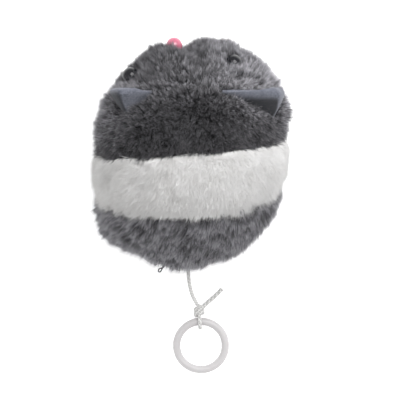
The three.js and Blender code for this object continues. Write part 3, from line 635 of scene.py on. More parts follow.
def feltPaint(nodes):
    fibre = nodes.noise(1500.0, 4.0)
    cloud = nodes.noise(260.0, 3.0)
    ramp = nodes.ramp(fibre * 0.6 + cloud * 0.4, [(0.28, (0.06, 0.064, 0.08)), (0.72, (0.17, 0.178, 0.212))])
    # painted shade: where the stored value is low the felt is mixed towards near black
    nap = nodes.add("ShaderNodeAttribute", {"attribute_name": "nap"}, output="Fac")
    paintedShadeFelt = nodes.mix(nap, rgb(0.018, 0.019, 0.023), ramp)
    return {"Base Color": paintedShadeFelt, "Normal": bumped(nodes, fibre + cloud, 0.7, 0.0003)}


feltLook = makeLook("pressed felt", feltPaint, Roughness=0.95, Sheen_Weight=0.1, Specular_IOR_Level=0.2)


def earSheet(name, ear):
    hand = math.copysign(1, ear["outer"])
    ridgeShare = (ear["ridge"] - ear["inner"]) / (ear["outer"] - ear["inner"])
    across = np.linspace(0, 1, ears["columns"] + 1)[:, None]
    down = np.linspace(0, 1, ears["rows"] + 1)[None, :]
    rim = ear["inner"] + (ear["outer"] - ear["inner"]) * across
    root = ear["root"] + hand * ears["rootSpread"] * (across - 0.5)
    angle = np.radians(90 - (rim + (root - rim) * down))
    climb = np.where(across < ridgeShare, across / ridgeShare, (1 - across) / (1 - ridgeShare))
    climb = 1 + ears["ridgeRound"] - np.hypot(1 - climb, ears["ridgeRound"])
    lip = 1 - ears["lipTurn"] * np.clip(1 - down / ear["lip"], 0, 1) ** 2
    rise = ears["seat"] + ear["lift"] * climb * lip * (1 - down) - ears["tuckIn"] * down ** ears["tuckPower"]
    tuck = np.where(across < ridgeShare, ears["innerTuck"], ear["outerTuck"])
    rise = rise - tuck * (1 - climb) ** 2
    rimBehind = np.interp(across, [0, ridgeShare, 1], ear["behind"])
    forward = body["halfLength"] - rimBehind - (ear["back"] - rimBehind) * down
    station = forward / (1 + rise / body["halfLength"])
    grid = skinPoint(station, angle, rise)
    faces = gridFaces(ears["columns"] + 1, ears["rows"] + 1, closedColumns=False)
    piece = meshObject(name, grid.reshape(-1, 3), faces)
    # painted shade on the face turned from the key light, fading out towards the lip at the rim
    near, far = ear["nap"]
    nap = np.where(across < ridgeShare, near, far) + 0 * down
    nap = 1 - (1 - nap) * smoothStep(down / ear["lip"], *ears["paintedLightFade"])
    layer = piece.data.attributes.new("nap", "FLOAT", "POINT")
    layer.data.foreach_set("value", nap.ravel())
    if np.mean(meshNormals(piece)[:, 2]) < 0:
        piece.data.flip_normals()
    modified(piece, "SOLIDIFY", thickness=ears["felt"], offset=1.0)
    settled(modified(piece, "BEVEL", width=ears["edge"], segments=2))
    finishPiece(piece, "mouse", "grey_felt", feltLook, ear["node"])
    return piece


earPieces = [earSheet(earName, ears[earName]) for earName in ("leftEar", "rightEar")]
print("ears cut and sewn on")


# Pile: strands grown on each panel, drawn into tufts and combed
pile = dict(
    combSeed=6, tuftSeed=11, wideTuft=0.003, frizz=0.001, width=0.00009, bendAt=0.45, floorGap=0.0004,
    layerStrands=32000, wild=(3.0, 2.2, 0.35), evenLength=0.98, strandSpan=(0.85, 1.1), lockSpan=(0.9, 1.1),
    strandTone=(-0.26, 0.26), lockTone=(-0.12, 0.12), toneLimits=(0.03, 0.97), tuftsMost=2.0e6,
    leanDrop=0.5, bend=(0.35, 0.65), drawPower=1.3, offAxis=(0.83, 0.29, 0.47), chartEdge=0.02,
    common=dict(wideDraw=0.06, ragged=0.16, mottle=0.15, edgeTint=0, frontTint=0, parting=0, turnOver=0),
    # per panel, the side, edge and front terms and the parting are painted light and shade on the pile
    panels=dict(
        facePanel=dict(
            seams=(None, "ear"), node="face_panel", slot="grey_plush", seed=24, layers=2, length=0.0057,
            tint=0.21, sideTint=0.65, edgeTint=0.6, parting=0.65, tuftTone=0.45, fineTuft=0.0005, draw=0.55,
            comb=(0.0, 0.3, 0.0), spread=0.2, swirl=0.45, curl=0.0009),
        crownPanel=dict(
            seams=("ear", "front"), node="crown_panel", slot="grey_plush", seed=31, layers=2, length=0.0056,
            tint=-0.24, sideTint=-0.04, edgeTint=1.1, frontTint=0.38, tuftTone=0.4, fineTuft=0.00045,
            draw=0.5, comb=(-0.08, -0.3, 0.0), turnOver=30, spread=0.0, swirl=0.4, curl=0.0007),
        middleBand=dict(
            seams=("front", "rear"), node="middle_band", slot="white_plush", seed=41, layers=3, length=0.0064,
            tint=0.77, sideTint=0.24, edgeTint=-0.3, mottle=0.3, tuftTone=0.28, fineTuft=0.00055, draw=0.03,
            wideDraw=0.0, ragged=0.05, comb=(-0.2, -0.42, -0.22), spread=0.1, swirl=0.26, curl=0.0002),
        rearPanel=dict(
            seams=("rear", None), node="rear_panel", slot="grey_plush", seed=51, layers=2, length=0.0064,
            tint=0.97, sideTint=0.15, mottle=1.0, tuftTone=0.85, fineTuft=0.00068, draw=0.85, wideDraw=0.2,
            comb=(-0.3, -0.42, 0.0), spread=0.25, swirl=0.35, curl=0.0008),
    ),
)
eye = dict(radius=0.0034, height=0.0036, sink=0.003, under=0.0008)
seats = dict(
    leftEye=dict(eye, node="left_eye", behind=0.0116, fromTop=-62, clear=0.35, room=0.0024),
    rightEye=dict(eye, node="right_eye", behind=0.0092, fromTop=40, clear=0.42, room=0.0022),
    nose=dict(node="nose", behind=0.00045, fromTop=-75, radius=0.0032, height=0.0036, sink=0.0017,
              under=0.0026, clear=0.9, room=0.0055),
)
groomed = dict(  # lengths in metres, the rest shares
    swirlSize=0.011, patch=0.2, patchSize=0.014, mottleSize=0.0045, turnFrom=0.008, flatten=(1, 1, 0.4),
    seatEdge=0.001, seatSweep=0.35, holeShort=0.4, holeReach=(0.003, 0.008),
    feltReach=0.014, feltGap=0.0009, feltLeast=0.12,
    under=(0.45, 0.8), underShort=0.2, underThin=0.8, low=(-0.2, 0.4), lowThin=0.25,
    frontFrom=0.012, frontOver=0.008, mostLean=0.95, noiseShift=(7.3, 1.9),
)


def makeStrand():  # three sided and closed: z runs from root to tip, x and y are its half width
    turns = [side * 2 * math.pi / 3 for side in range(3)]
    points = [(math.cos(turn), math.sin(turn), pile["bendAt"]) for turn in turns]
    points += [(0, 0, 0), (0, 0, 1)]
    faces = []
    for side in range(3):
        other = (side + 1) % 3
        faces += [(side, other, 4), (other, side, 3)]
    strand = meshObject("strand", points, faces)
    shape = strand.data.attributes.new("shape", "FLOAT_VECTOR", "POINT")
    shape.data.foreach_set("vector", np.array(points, float).ravel())
    return strand


def makePileTree():
    vector = "FLOAT_VECTOR"
    numbers = ("density", "length", "width", "fineTuft", "wideTuft", "draw", "wideDraw", "frizz", "curl",
               "tuftTone", "ragged", "floorGap")
    tree, nodes, start = makeTree("pile", numbers, seed="Int", tuftSeed="Int", strand="Object",
                                  look="Material")

    def attribute(name, kind="FLOAT"):
        return nodes.add("GeometryNodeInputNamedAttribute", {"data_type": kind}, {0: name})

    def drawn(kind, sockets, salt, identity, output):  # a random value, one a strand or one a tuft
        sockets[8] = start.out("seed") + salt if identity is None else salt
        if identity is not None:
            sockets[7] = identity
        return nodes.add("FunctionNodeRandomValue", {"data_type": kind}, sockets, output)

    def chance(low, high, salt, identity=None):
        return drawn("FLOAT", {2: low, 3: high}, salt, identity, 1)

    def anyWay(salt, identity=None):
        return drawn(vector, {0: (-1, -1, -1), 1: (1, 1, 1)}, salt, identity, 0)

    place = nodes.add("GeometryNodeInputPosition")
    roots = nodes.add("GeometryNodeDistributePointsOnFaces", {"distribute_method": "RANDOM"},
                      {0: start, 4: start.out("density") * attribute("thick"), 6: start.out("seed")})
    normal = roots.out("Normal")

    def tufts(size, salt):  # the nearest tuft's number, and the way to its middle
        heads = nodes.add("GeometryNodeDistributePointsOnFaces", {"distribute_method": "POISSON"},
                          {0: start, 2: size, 3: pile["tuftsMost"], 6: start.out("tuftSeed") + salt})
        nearest = nodes.add("GeometryNodeSampleNearest", {"domain": "POINT"}, {0: heads, 1: place})
        head = nodes.add("GeometryNodeSampleIndex", {"data_type": vector, "domain": "POINT"},
                         {0: heads, 1: place, 2: nearest})
        return nearest, nodes.vector("SUBTRACT", head, place)

    fine, toFine = tufts(start.out("fineTuft"), 1)
    wide, toWide = tufts(start.out("wideTuft"), 2)
    rare, most, least = pile["wild"]
    wild = chance(0.0, 1.0, 13) ** rare * most + least
    draw = nodes.vector("ADD", nodes.scaled(toFine, start.out("draw")),
                        nodes.scaled(toWide, start.out("wideDraw")))
    draw = nodes.vector("ADD", draw, nodes.scaled(anyWay(15, wide), start.out("curl")))
    frizz = nodes.vector("ADD", nodes.scaled(anyWay(9), start.out("frizz") * wild),
                         nodes.scaled(anyWay(5, fine), start.out("curl")))
    uneven = chance(-1.0, 1.0, 7, fine) * start.out("ragged") + pile["evenLength"]
    reach = start.out("length") * attribute("pile") * uneven
    reach = reach * chance(*pile["strandSpan"], 3) * chance(*pile["lockSpan"], 17, wide)
    # the stored tone holds painted light and shade as well as the plush's random tone
    tone = attribute("tint") + chance(*pile["strandTone"], 4) + chance(*pile["lockTone"], 8, wide)
    tone = tone + chance(-1.0, 1.0, 6, fine) * start.out("tuftTone")
    darkest, palest = pile["toneLimits"]
    shade = nodes.add("ShaderNodeClamp", {}, {0: tone, 1: darkest, 2: palest})
    seated = roots
    for name, value in (("root", place), ("rise", normal), ("draw", draw), ("frizz", frizz)):
        seated = nodes.store(seated, name, value, vector)
    for name, value in (("reach", reach), ("shade", shade)):
        seated = nodes.store(seated, name, value)
    strand = nodes.add("GeometryNodeObjectInfo", {}, {0: start.out("strand"), 1: False}, output="Geometry")
    grown = nodes.add("GeometryNodeInstanceOnPoints", {}, {0: seated, 2: strand})
    real = nodes.add("GeometryNodeRealizeInstances", {}, {0: grown})
    shape = nodes.add("ShaderNodeSeparateXYZ", {}, {0: attribute("shape", vector)})
    along = shape.out(2)
    rise, lay = attribute("rise", vector), attribute("comb", vector)
    lean = nodes.add("ShaderNodeVectorMath", {"operation": "LENGTH"}, {0: lay}, "Value")
    up = along - lean * along * along * pile["leanDrop"]
    straight, bowed = pile["bend"]
    bend = along * straight + along * along * bowed
    stem = nodes.vector("ADD", nodes.scaled(rise, up), nodes.scaled(lay, bend))
    middle = nodes.vector("ADD", attribute("root", vector), nodes.scaled(stem, attribute("reach")))
    middle = nodes.vector("ADD", middle, nodes.scaled(attribute("draw", vector), along ** pile["drawPower"]))
    middle = nodes.vector("ADD", middle, nodes.scaled(attribute("frizz", vector), along * along))
    sideA = nodes.add("ShaderNodeVectorMath", {"operation": "NORMALIZE"},
                      {0: nodes.vector("CROSS_PRODUCT", rise, pile["offAxis"])})
    sideB = nodes.vector("CROSS_PRODUCT", rise, sideA)
    breadth = nodes.vector("ADD", nodes.scaled(sideA, shape * start.out("width")),
                           nodes.scaled(sideB, shape.out(1) * start.out("width")))
    final = nodes.add("ShaderNodeSeparateXYZ", {}, {0: nodes.vector("ADD", middle, breadth)})
    height = nodes.maths("MAXIMUM", final.out(2), start.out("floorGap"))
    target = nodes.add("ShaderNodeCombineXYZ", {}, {0: final, 1: final.out(1), 2: height})
    moved = nodes.add("GeometryNodeSetPosition", {}, {0: real, 2: target})
    edge = pile["chartEdge"]
    chart = nodes.add("ShaderNodeCombineXYZ", {}, {
        0: attribute("shade") + shape * edge, 1: along * (1 - 2 * edge) + edge})
    mapped = nodes.store(moved, "OFBake", chart, "FLOAT2", "CORNER")
    for name in ("root", "rise", "draw", "frizz", "reach", "shade", "shape", "comb", "pile", "thick", "tint"):
        mapped = nodes.add("GeometryNodeRemoveAttribute", {}, {0: mapped, "Name": name})
    endTree(nodes, mapped, start.out("look"))
    return tree


def pilePaint(nodes, stops, tones):  # root to tip along the map's height, strand by strand across it
    chart = nodes.add("ShaderNodeUVMap", {"uv_map": "OFBake"})
    chart = nodes.add("ShaderNodeSeparateXYZ", {}, {0: chart})
    along = nodes.ramp(chart.out(1), stops)
    return {"Base Color": nodes.mix(1.0, along, nodes.ramp(chart, tones), "MULTIPLY"),
            "Roughness": nodes.spread(chart.out(1), 0.75, 0.5)}


greyPile = makeLook(
    "grey pile", pilePaint,
    [(0.0, (0.008, 0.008, 0.009)), (0.5, (0.038, 0.0372, 0.0412)), (0.72, (0.17, 0.1675, 0.181)),
     (1.0, (0.94, 0.925, 0.99))],
    [(0.0, (0.24, 0.24, 0.24)), (0.5, (0.56, 0.56, 0.56)), (1.0, (1.0, 1.0, 1.0))],
    Specular_IOR_Level=0.35, Sheen_Weight=0.0)
whitePile = makeLook(
    "white pile", pilePaint,
    [(0.0, (0.93, 0.925, 0.92)), (0.5, (0.96, 0.956, 0.95)), (1.0, (0.97, 0.965, 0.96))],
    [(0.0, (0.68, 0.675, 0.666)), (0.5, (0.91, 0.907, 0.9)), (1.0, (1.0, 1.0, 1.0))],
    Specular_IOR_Level=0.35, Sheen_Weight=0.3)


def backingPaint(nodes, base):
    knit = nodes.add("ShaderNodeTexVoronoi", {}, {"Vector": nodes.place(), "Scale": 900.0})
    colour = nodes.mix(nodes.noise(120.0), rgb(*[part * 0.6 for part in base]), rgb(*base))
    return {"Base Color": colour, "Normal": bumped(nodes, knit, 0.6, 0.0004)}


greyBacking = makeLook("grey knit backing", backingPaint, (0.035, 0.035, 0.037), Roughness=0.95)
whiteBacking = makeLook("white knit backing", backingPaint, (0.86, 0.85, 0.84), Roughness=0.95)
slotLooks = dict(grey_plush=(greyPile, greyBacking), white_plush=(whitePile, whiteBacking))


noise.seed_set(pile["combSeed"])  # the same noise every run


def wander(points, size, salt):  # slow noise, three numbers a point
    shift = Vector((salt, *groomed["noiseShift"]))
    return np.array([noise.noise_vector(Vector(point) / size + shift) for point in points])


def groom(panel, settings):  # how the pile lies, and how long and thick it stands
    points, normals = meshPoints(panel), meshNormals(panel)
    comb = np.tile(np.array(settings["comb"]), (len(points), 1))
    outwardWay = (points - np.array((0, 0, body["centre"]))) * np.array(groomed["flatten"])
    outwardWay /= np.linalg.norm(outwardWay, axis=1, keepdims=True)
    comb[:, 1] += settings["turnOver"] * np.maximum(points[:, 1] - groomed["turnFrom"], 0)
    comb += settings["spread"] * outwardWay
    comb += settings["swirl"] * wander(points, groomed["swirlSize"], settings["seed"])
    length = np.ones(len(points))
    for seat in seats.values():
        place, way = skinFrame(seat["behind"], seat["fromTop"])
        away = points - np.array(place + way * body["inset"])
        far = np.linalg.norm(away, axis=1)
        near = 1 - smoothStep(far, seat["radius"] - groomed["seatEdge"], seat["radius"] + seat["room"])
        length *= 1 - seat["clear"] * near
        comb += (near / np.maximum(far, 1e-4))[:, None] * away * groomed["seatSweep"]
    hole = np.linalg.norm(points - np.array(pull["exit"]) * mm, axis=1)
    length *= 1 - groomed["holeShort"] * (1 - smoothStep(hole, *groomed["holeReach"]))
    for ear in earPieces:  # under the felt the pile is pressed short
        tree = BVHTree.FromObject(ear, bpy.context.evaluated_depsgraph_get())
        for i, (point, normal) in enumerate(zip(points, normals)):
            hit = tree.ray_cast(Vector(point), Vector(normal), groomed["feltReach"])
            if hit[0] is not None:
                space = (hit[3] - groomed["feltGap"]) / settings["length"]
                length[i] = min(length[i], max(groomed["feltLeast"], space))
    under = smoothStep(-normals[:, 2], *groomed["under"])
    length *= 1 - groomed["underShort"] * under
    thick = 1 - groomed["underThin"] * under
    thick *= 1 - groomed["lowThin"] * smoothStep(-normals[:, 2], *groomed["low"])
    patches = wander(points, groomed["patchSize"], settings["seed"] + 3)[:, 0]
    mottle = wander(points, groomed["mottleSize"], settings["seed"] + 5)[:, 0]
    # tone per point: the panel's base, random patches and mottle, plus the painted light and shade added
    # below
    tint = settings["tint"] + groomed["patch"] * patches + settings["mottle"] * mottle
    # painted shade along the parting on the forehead
    tint -= settings["parting"] * alongCrease(points)
    # painted light: a gradient across the body, set per panel, lighter towards the key light on the right
    aside = points[:, 0] / body["halfWidth"]
    # painted light and shade on the flanks, set per panel: lighter sides on the face and crown, darker sides
    # on the band
    tint += settings["sideTint"] * aside + settings["edgeTint"] * aside ** 2
    # painted light: the crown lighter towards its front
    tint += settings["frontTint"] * (points[:, 1] - groomed["frontFrom"]) / groomed["frontOver"]
    comb -= normals * np.sum(comb * normals, axis=1, keepdims=True)
    lean = np.linalg.norm(comb, axis=1, keepdims=True)
    comb *= np.minimum(1.0, groomed["mostLean"] / np.maximum(lean, 1e-6))
    layer = panel.data.attributes.new("comb", "FLOAT_VECTOR", "POINT")
    layer.data.foreach_set("vector", np.ascontiguousarray(comb).ravel())
    for name, values in (("pile", length), ("thick", thick), ("tint", tint)):
        layer = panel.data.attributes.new(name, "FLOAT", "POINT")
        layer.data.foreach_set("value", np.ascontiguousarray(values))
    return float(sum(face.area * np.mean(thick[list(face.vertices)]) for face in panel.data.polygons))


strand = makeStrand()
pileTree = makePileTree()
for panelName, own in pile["panels"].items():
    settings = {**pile["common"], **own}
    panel = panelOf(panelName, *settings["seams"])
    look, backing = slotLooks[settings["slot"]]
    grownArea = groom(panel, settings)
    for layer in range(settings["layers"]):
        coat = placed(f"{panelName}Pile{layer + 1}", panel.data.copy())
        settled(giveTree(coat, pileTree, {
            **pile, **settings, "density": pile["layerStrands"] / grownArea,
            "seed": settings["seed"] + 100 * layer, "strand": strand, "look": look}))
        finishPiece(coat, "mouse", settings["slot"], look)
        print(coat.name, "has", len(coat.data.polygons) // 6, "strands")
    for name in ("comb", "pile", "thick", "tint"):
        panel.data.attributes.remove(panel.data.attributes[name])
    settled(modified(panel, "SOLIDIFY", thickness=body["cloth"], offset=-1.0))
    finishPiece(panel, "mouse", settings["slot"], backing, settings["node"])
bpy.data.objects.remove(strand)
cover = BVHTree.FromObject(skin, bpy.context.evaluated_depsgraph_get())
bpy.data.objects.remove(skin)


# Thread: a loop of dark sewing thread left standing at the rear
thread = dict(radius=0.00026, roots=((-12.2, -37.5, 22.0), (-11.2, -38.0, 21.6)),
              loop=[(-13.3, -43.7, 20.4), (-14.4, -45.5, 19.8), (-15.1, -45.3, 19.6), (-14.7, -44.3, 19.8),
                    (-12.8, -43.6, 20.2)])


def threadPaint(nodes):
    twist = nodes.add("ShaderNodeTexWave", {"bands_direction": "DIAGONAL"}, {0: nodes.place(), 1: 900.0})
    return {"Base Color": nodes.mix(twist, rgb(0.008, 0.008, 0.009), rgb(0.03, 0.03, 0.033)),
            "Normal": bumped(nodes, twist, 0.6, 0.0001)}


def sewnThread():
    ends = [cover.find_nearest(Vector(root) * mm)[0] / mm for root in thread["roots"]]
    points = smoothRoute([ends[0], *thread["loop"], ends[1]], count=60)[0]
    route = routeCurve("threadRoute", points, bevel_depth=thread["radius"], bevel_resolution=3,
                       use_fill_caps=True)
    return outward(curvePiece("sewingThread", route))


finishPiece(sewnThread(), "mouse", "grey_plush", makeLook("sewing thread", threadPaint, Roughness=0.6))


# Filling: loose fibre moulded round the shaker, held inside the plush
filling = dict(voxel=0.0016, sag=0.0003, lump=0.0004, lumpSize=0.005, lumpSeed=61, clear=0.0005)


def fibrePaint(nodes):
    swirl = nodes.add("ShaderNodeTexNoise", {}, {0: nodes.place(), 2: 420.0, 3: 6.0, "Distortion": 3.0})
    colour = nodes.mix(swirl, rgb(0.66, 0.655, 0.63), rgb(0.92, 0.915, 0.89))
    return {"Base Color": colour, "Normal": bumped(nodes, swirl, 0.9, 0.0006)}


def looseFilling():
    piece = placed("stuffingFibre", frame["nodes"]["stuffing"].data.copy())
    remeshed(outward(piece), filling["voxel"])
    points, normals = meshPoints(piece), meshNormals(piece)
    lumps = wander(points, filling["lumpSize"], filling["lumpSeed"])[:, 0] / 2 + 0.5
    points = points - normals * (filling["sag"] + filling["lump"] * lumps)[:, None]
    for i, point in enumerate(points):  # where the plush dips, the fibre is pressed in under it
        near, way = cover.find_nearest(Vector(point))[:2]
        short = body["cloth"] + filling["clear"] - (near - Vector(point)).dot(way)
        if short > 0:
            points[i] -= np.array(way) * short
    movePoints(piece, points)
    return piece


fibreLook = makeLook("loose fibre", fibrePaint, Roughness=0.95, Sheen_Weight=0.4)
stuffingFibre = finishPiece(looseFilling(), "mouse", "polyester_fill", fibreLook, "stuffing")
print("filling packed,", len(stuffingFibre.data.polygons), "faces")


# Catnip pouch: two rounds of cotton, filled and stitched together along a flat hem
pouchLow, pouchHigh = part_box("catnip_pouch")
pouch = dict(
    middle=(pouchLow + pouchHigh) / 2, half=(pouchHigh - pouchLow) / 2, slack=0.72, voxel=0.0009,
    pinReach=0.00054, pressure=4.0, cap=0.0008, pucker=0.0002, puckers=22, puckerFrom=(0.6, 0.9),
    hem=0.0011, hemThick=0.0006, hemOver=0.0008, hemEdge=(0.00035, 0.0002), wave=0.00018, waves=7,
    stitch=0.0017, stitchLength=0.0006, stitchRadius=0.00014, stitchAt=0.00066,
)


def weavePaint(nodes):
    across = nodes.add("ShaderNodeSeparateXYZ", {}, {0: nodes.place()})
    warp = nodes.maths("SINE", across * 9000.0)
    weft = nodes.maths("SINE", across.out(1) * 9000.0)
    fibre = nodes.noise(2600.0, 3.0)
    shade = nodes.spread(warp * weft, 0.5, 0.75) * 0.6 + fibre * 0.4
    return {"Base Color": nodes.mix(shade, rgb(0.3, 0.24, 0.13), rgb(0.58, 0.49, 0.3)),
            "Normal": bumped(nodes, warp * weft + fibre, 0.5, 0.0002)}


clothLook = makeLook("plain cotton", weavePaint, Roughness=0.9, Sheen_Weight=0.2)
stitchLook = makeLook("cotton thread", lambda nodes: {"Base Color": nodes.mix(
    nodes.noise(4000.0), rgb(0.42, 0.35, 0.22), rgb(0.7, 0.62, 0.45))}, Roughness=0.8)


def pouchRound(inside, rise, count=96):  # an oval, a distance inside the pouch's edge
    turns = np.linspace(0, 2 * math.pi, count, endpoint=False)
    wave = pouch["wave"] * np.sin(pouch["waves"] * turns)
    return np.stack([pouch["middle"].x + (pouch["half"].x - inside) * np.cos(turns),
                     pouch["middle"].y + (pouch["half"].y - inside) * np.sin(turns),
                     pouch["middle"].z + rise + wave], axis=1)


def pouchBag():
    work = bmesh.new()
    bmesh.ops.create_uvsphere(work, u_segments=48, v_segments=24, radius=1.0)
    half = pouch["half"]
    size = [half.x - pouch["hem"], half.y - pouch["hem"], half.z * pouch["slack"]]
    bmesh.ops.scale(work, vec=size, verts=work.verts)
    bmesh.ops.translate(work, vec=pouch["middle"], verts=work.verts)
    piece = remeshed(workObject("catnipPouch", work, smooth=False), pouch["voxel"])
    puffed(piece, lambda points: np.abs(points[:, 2] - pouch["middle"].z) < pouch["pinReach"], pouch)
    subdivided(piece)
    points, normals = meshPoints(piece), meshNormals(piece)
    offset = points - np.array(pouch["middle"])
    turns = np.arctan2(offset[:, 1] / size[1], offset[:, 0] / size[0])
    edge = np.hypot(offset[:, 0] / size[0], offset[:, 1] / size[1])
    pucker = pouch["pucker"] * np.cos(pouch["puckers"] * turns) * smoothStep(edge, *pouch["puckerFrom"])
    movePoints(piece, points + normals * (pucker - pouch["pucker"])[:, None])
    return piece


def pouchHem():
    thick = pouch["hemThick"] / 2
    side, tip = pouch["hemEdge"]
    inner = pouch["hem"] + pouch["hemOver"]
    loops = [pouchRound(side, -thick), pouchRound(tip, 0.0), pouchRound(side, thick),
             pouchRound(inner, thick), pouchRound(inner, -thick)]
    faces = gridFaces(len(loops), len(loops[0]), closedRows=True)
    return outward(meshObject("pouchHem", np.concatenate(loops), faces))


def makeStitchTree():
    numbers = ("stitch", "stitchRadius", "stitchLength")
    tree, nodes, start = makeTree("stitches", numbers, look="Material")
    line = nodes.add("GeometryNodeMeshToCurve", {}, {0: start})
    even = nodes.add("GeometryNodeResampleCurve", {"mode": "LENGTH"}, {0: line, 3: start.out("stitch")})
    tangent = nodes.add("GeometryNodeInputTangent")
    turn = nodes.add("FunctionNodeAlignRotationToVector", {"axis": "Z"}, {2: tangent})
    bead = nodes.add("GeometryNodeMeshUVSphere", {}, {0: 10, 1: 8, 2: 1.0})
    size = nodes.add("ShaderNodeCombineXYZ", {}, {
        0: start.out("stitchRadius"), 1: start.out("stitchRadius"), 2: start.out("stitchLength")})
    sewn = nodes.add("GeometryNodeInstanceOnPoints", {}, {0: even, 2: bead, 5: turn, 6: size})
    endTree(nodes, nodes.add("GeometryNodeRealizeInstances", {}, {0: sewn}), start.out("look"))
    return tree


def pouchStitches():
    rounds = [pouchRound(pouch["stitchAt"], sign * pouch["hemThick"] / 2) for sign in (-1, 1)]
    count = len(rounds[0])
    edges = [(first + step, first + (step + 1) % count) for first in (0, count) for step in range(count)]
    piece = meshObject("pouchStitches", np.concatenate(rounds), [], edges=edges)
    return settled(giveTree(piece, makeStitchTree(), {**pouch, "look": stitchLook}))


catnipPouch = finishPiece(pouchBag(), "mouse", "cotton_cloth", clothLook, "catnip_pouch")
finishPiece(pouchHem(), "mouse", "cotton_cloth", clothLook)
finishPiece(pouchStitches(), "mouse", "cotton_cloth", stitchLook)
print("pouch sewn")


# Eyes and nose: moulded domes on a ribbed shank
def glossPaint(nodes, dark, pale):
    cloud = nodes.noise(500.0)
    scuff = nodes.noise(3500.0, 3.0)
    return {"Base Color": nodes.mix(cloud, rgb(*dark), rgb(*pale)),
            "Roughness": nodes.spread(scuff, 0.05, 0.12), "Normal": bumped(nodes, cloud, 0.04, 0.0002)}


eyeLook = makeLook("polished black", glossPaint, (0.006, 0.006, 0.008), (0.01, 0.01, 0.013),
                   Specular_IOR_Level=0.3)
noseLook = makeLook("polished pink", glossPaint, (0.48, 0.115, 0.18), (0.56, 0.165, 0.24), Coat_Weight=0.3)
shank = dict(tip=[(0.0, 0.0), (0.0007, 0.0), (0.0009, 0.0005)], ribs=4, firstRib=0.0008, pitch=0.0011,
             rib=[(0.0011, 0.0), (0.0011, 0.0005), (0.00098, 0.0006)], radius=0.0011,
             flare=[(0.6, 0.9), (0.85, 0.5), (0.96, 0.2)], steps=18, fullness=0.9, spokes=48)


def dome(name, seat, slotName, look):
    place, way = skinFrame(seat["behind"], seat["fromTop"])
    solid = frame["nodes"][seat["node"]].data
    low = min((Vector(vertex.co) - place).dot(way) for vertex in solid.vertices)
    base = -seat["sink"]
    profile = [(radius, low + rise) for radius, rise in shank["tip"]]
    for rib in range(shank["ribs"]):  # the washer's teeth hold on these
        level = low + shank["firstRib"] + rib * shank["pitch"]
        profile += [(radius, level + rise) for radius, rise in shank["rib"]]
    profile.append((shank["radius"], base - seat["under"]))
    profile += [(seat["radius"] * wide, base - seat["under"] * deep) for wide, deep in shank["flare"]]
    for swing in np.linspace(0, math.pi / 2, shank["steps"] + 1)[1:-1]:
        radius = seat["radius"] * math.cos(swing) ** shank["fullness"]
        profile.append((radius, base + seat["height"] * math.sin(swing)))
    profile.append((0.0, base + seat["height"]))
    turn = way.to_track_quat("Z", "Y").to_matrix()
    turns = np.linspace(0, 2 * math.pi, shank["spokes"], endpoint=False)
    points = [place + turn @ Vector((radius * math.cos(around), radius * math.sin(around), height))
              for radius, height in profile for around in turns]
    piece = outward(meshObject(name, points, gridFaces(len(profile), shank["spokes"])))
    return finishPiece(piece, "mouse", slotName, look, seat["node"])


dome("leftEye", seats["leftEye"], "black_plastic", eyeLook)
dome("rightEye", seats["rightEye"], "black_plastic", eyeLook)
dome("noseTip", seats["nose"], "pink_plastic", noseLook)
print("eyes and nose set")


# Ring: a smooth translucent moulding
ringLow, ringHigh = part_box("pull_ring")
ring = dict(radius=0.00995, section=0.00155, near=Vector(pull["ringNear"]) * mm, tilt=math.radians(5.19),
            around=128, across=32)


def ringPaint(nodes):
    cloud = nodes.noise(180.0)
    return {"Base Color": nodes.mix(cloud, rgb(0.438, 0.425, 0.43), rgb(0.49, 0.476, 0.48)),
            "Roughness": nodes.spread(nodes.noise(900.0, 3.0), 0.38, 0.52)}


ringLook = makeLook("milky ring", ringPaint, Subsurface_Weight=0.25,
                    Subsurface_Radius=(0.003, 0.003, 0.003))


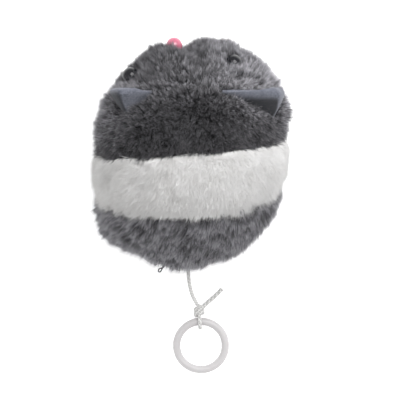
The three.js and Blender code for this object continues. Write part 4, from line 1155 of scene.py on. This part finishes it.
def makeRing():
    away = Vector((0, -math.cos(ring["tilt"]), -math.sin(ring["tilt"])))
    middle = ring["near"] + away * ring["radius"]
    flat = Matrix.Rotation(ring["tilt"], 3, "X")
    points = []
    for turn in np.linspace(0, 2 * math.pi, ring["around"], endpoint=False):
        spoke = Vector((math.cos(turn), math.sin(turn), 0))
        for swing in np.linspace(0, 2 * math.pi, ring["across"], endpoint=False):
            point = spoke * (ring["radius"] + ring["section"] * math.cos(swing))
            point.z = ring["section"] * math.sin(swing)
            points.append(middle + flat @ point)
    faces = gridFaces(ring["around"], ring["across"], closedRows=True)
    return outward(meshObject("pullRing", points, faces))


finishPiece(makeRing(), "ring", "ring_plastic", ringLook, "pull_ring")
print("ring moulded,", [round(x * 1000, 2) for x in (*ringLow, *ringHigh)])


# Inside: the shaker's plastics and metals, each with its own grain
def mouldedPaint(nodes, dark, pale, grain, rough):
    cloud = nodes.noise(90.0)
    speck = nodes.noise(grain, 3.0)
    return {"Base Color": nodes.mix(cloud, rgb(*dark), rgb(*pale)),
            "Roughness": nodes.spread(speck, rough - 0.1, rough + 0.1),
            "Normal": bumped(nodes, speck, 0.12, 0.0002)}


def drawnPaint(nodes, dark, pale, rough):  # fine lines along the pin, a little tarnish
    stretched = nodes.add("ShaderNodeMapping", {}, {"Vector": nodes.place(), "Scale": (1.0, 1.0, 0.06)})
    lines = nodes.noise(5200.0, 3.0, stretched)
    tarnish = nodes.noise(240.0, 3.0)
    return {"Base Color": nodes.mix(tarnish, rgb(*dark), rgb(*pale)),
            "Roughness": nodes.spread(lines, rough - 0.08, rough + 0.12),
            "Normal": bumped(nodes, lines, 0.08, 0.0001)}


insideLooks = dict(
    case_plastic=makeLook("moulded case", mouldedPaint, (0.43, 0.45, 0.49), (0.5, 0.52, 0.56), 2400.0, 0.5),
    gear_plastic=makeLook("natural acetal", mouldedPaint, (0.76, 0.73, 0.65), (0.84, 0.82, 0.75), 1800.0,
                          0.38),
    steel=makeLook("drawn steel", drawnPaint, (0.4, 0.4, 0.42), (0.52, 0.53, 0.55), 0.28, Metallic=1.0),
    zinc=makeLook("cast zinc", drawnPaint, (0.22, 0.23, 0.25), (0.34, 0.35, 0.37), 0.5, Metallic=0.9),
)
for part in frame["record"]["subparts"]:
    if part["material_slot"] in insideLooks:
        materials = frame["nodes"][part["node"]].data.materials
        materials.clear()
        materials.append(insideLooks[part["material_slot"]])
print("shaker finished")
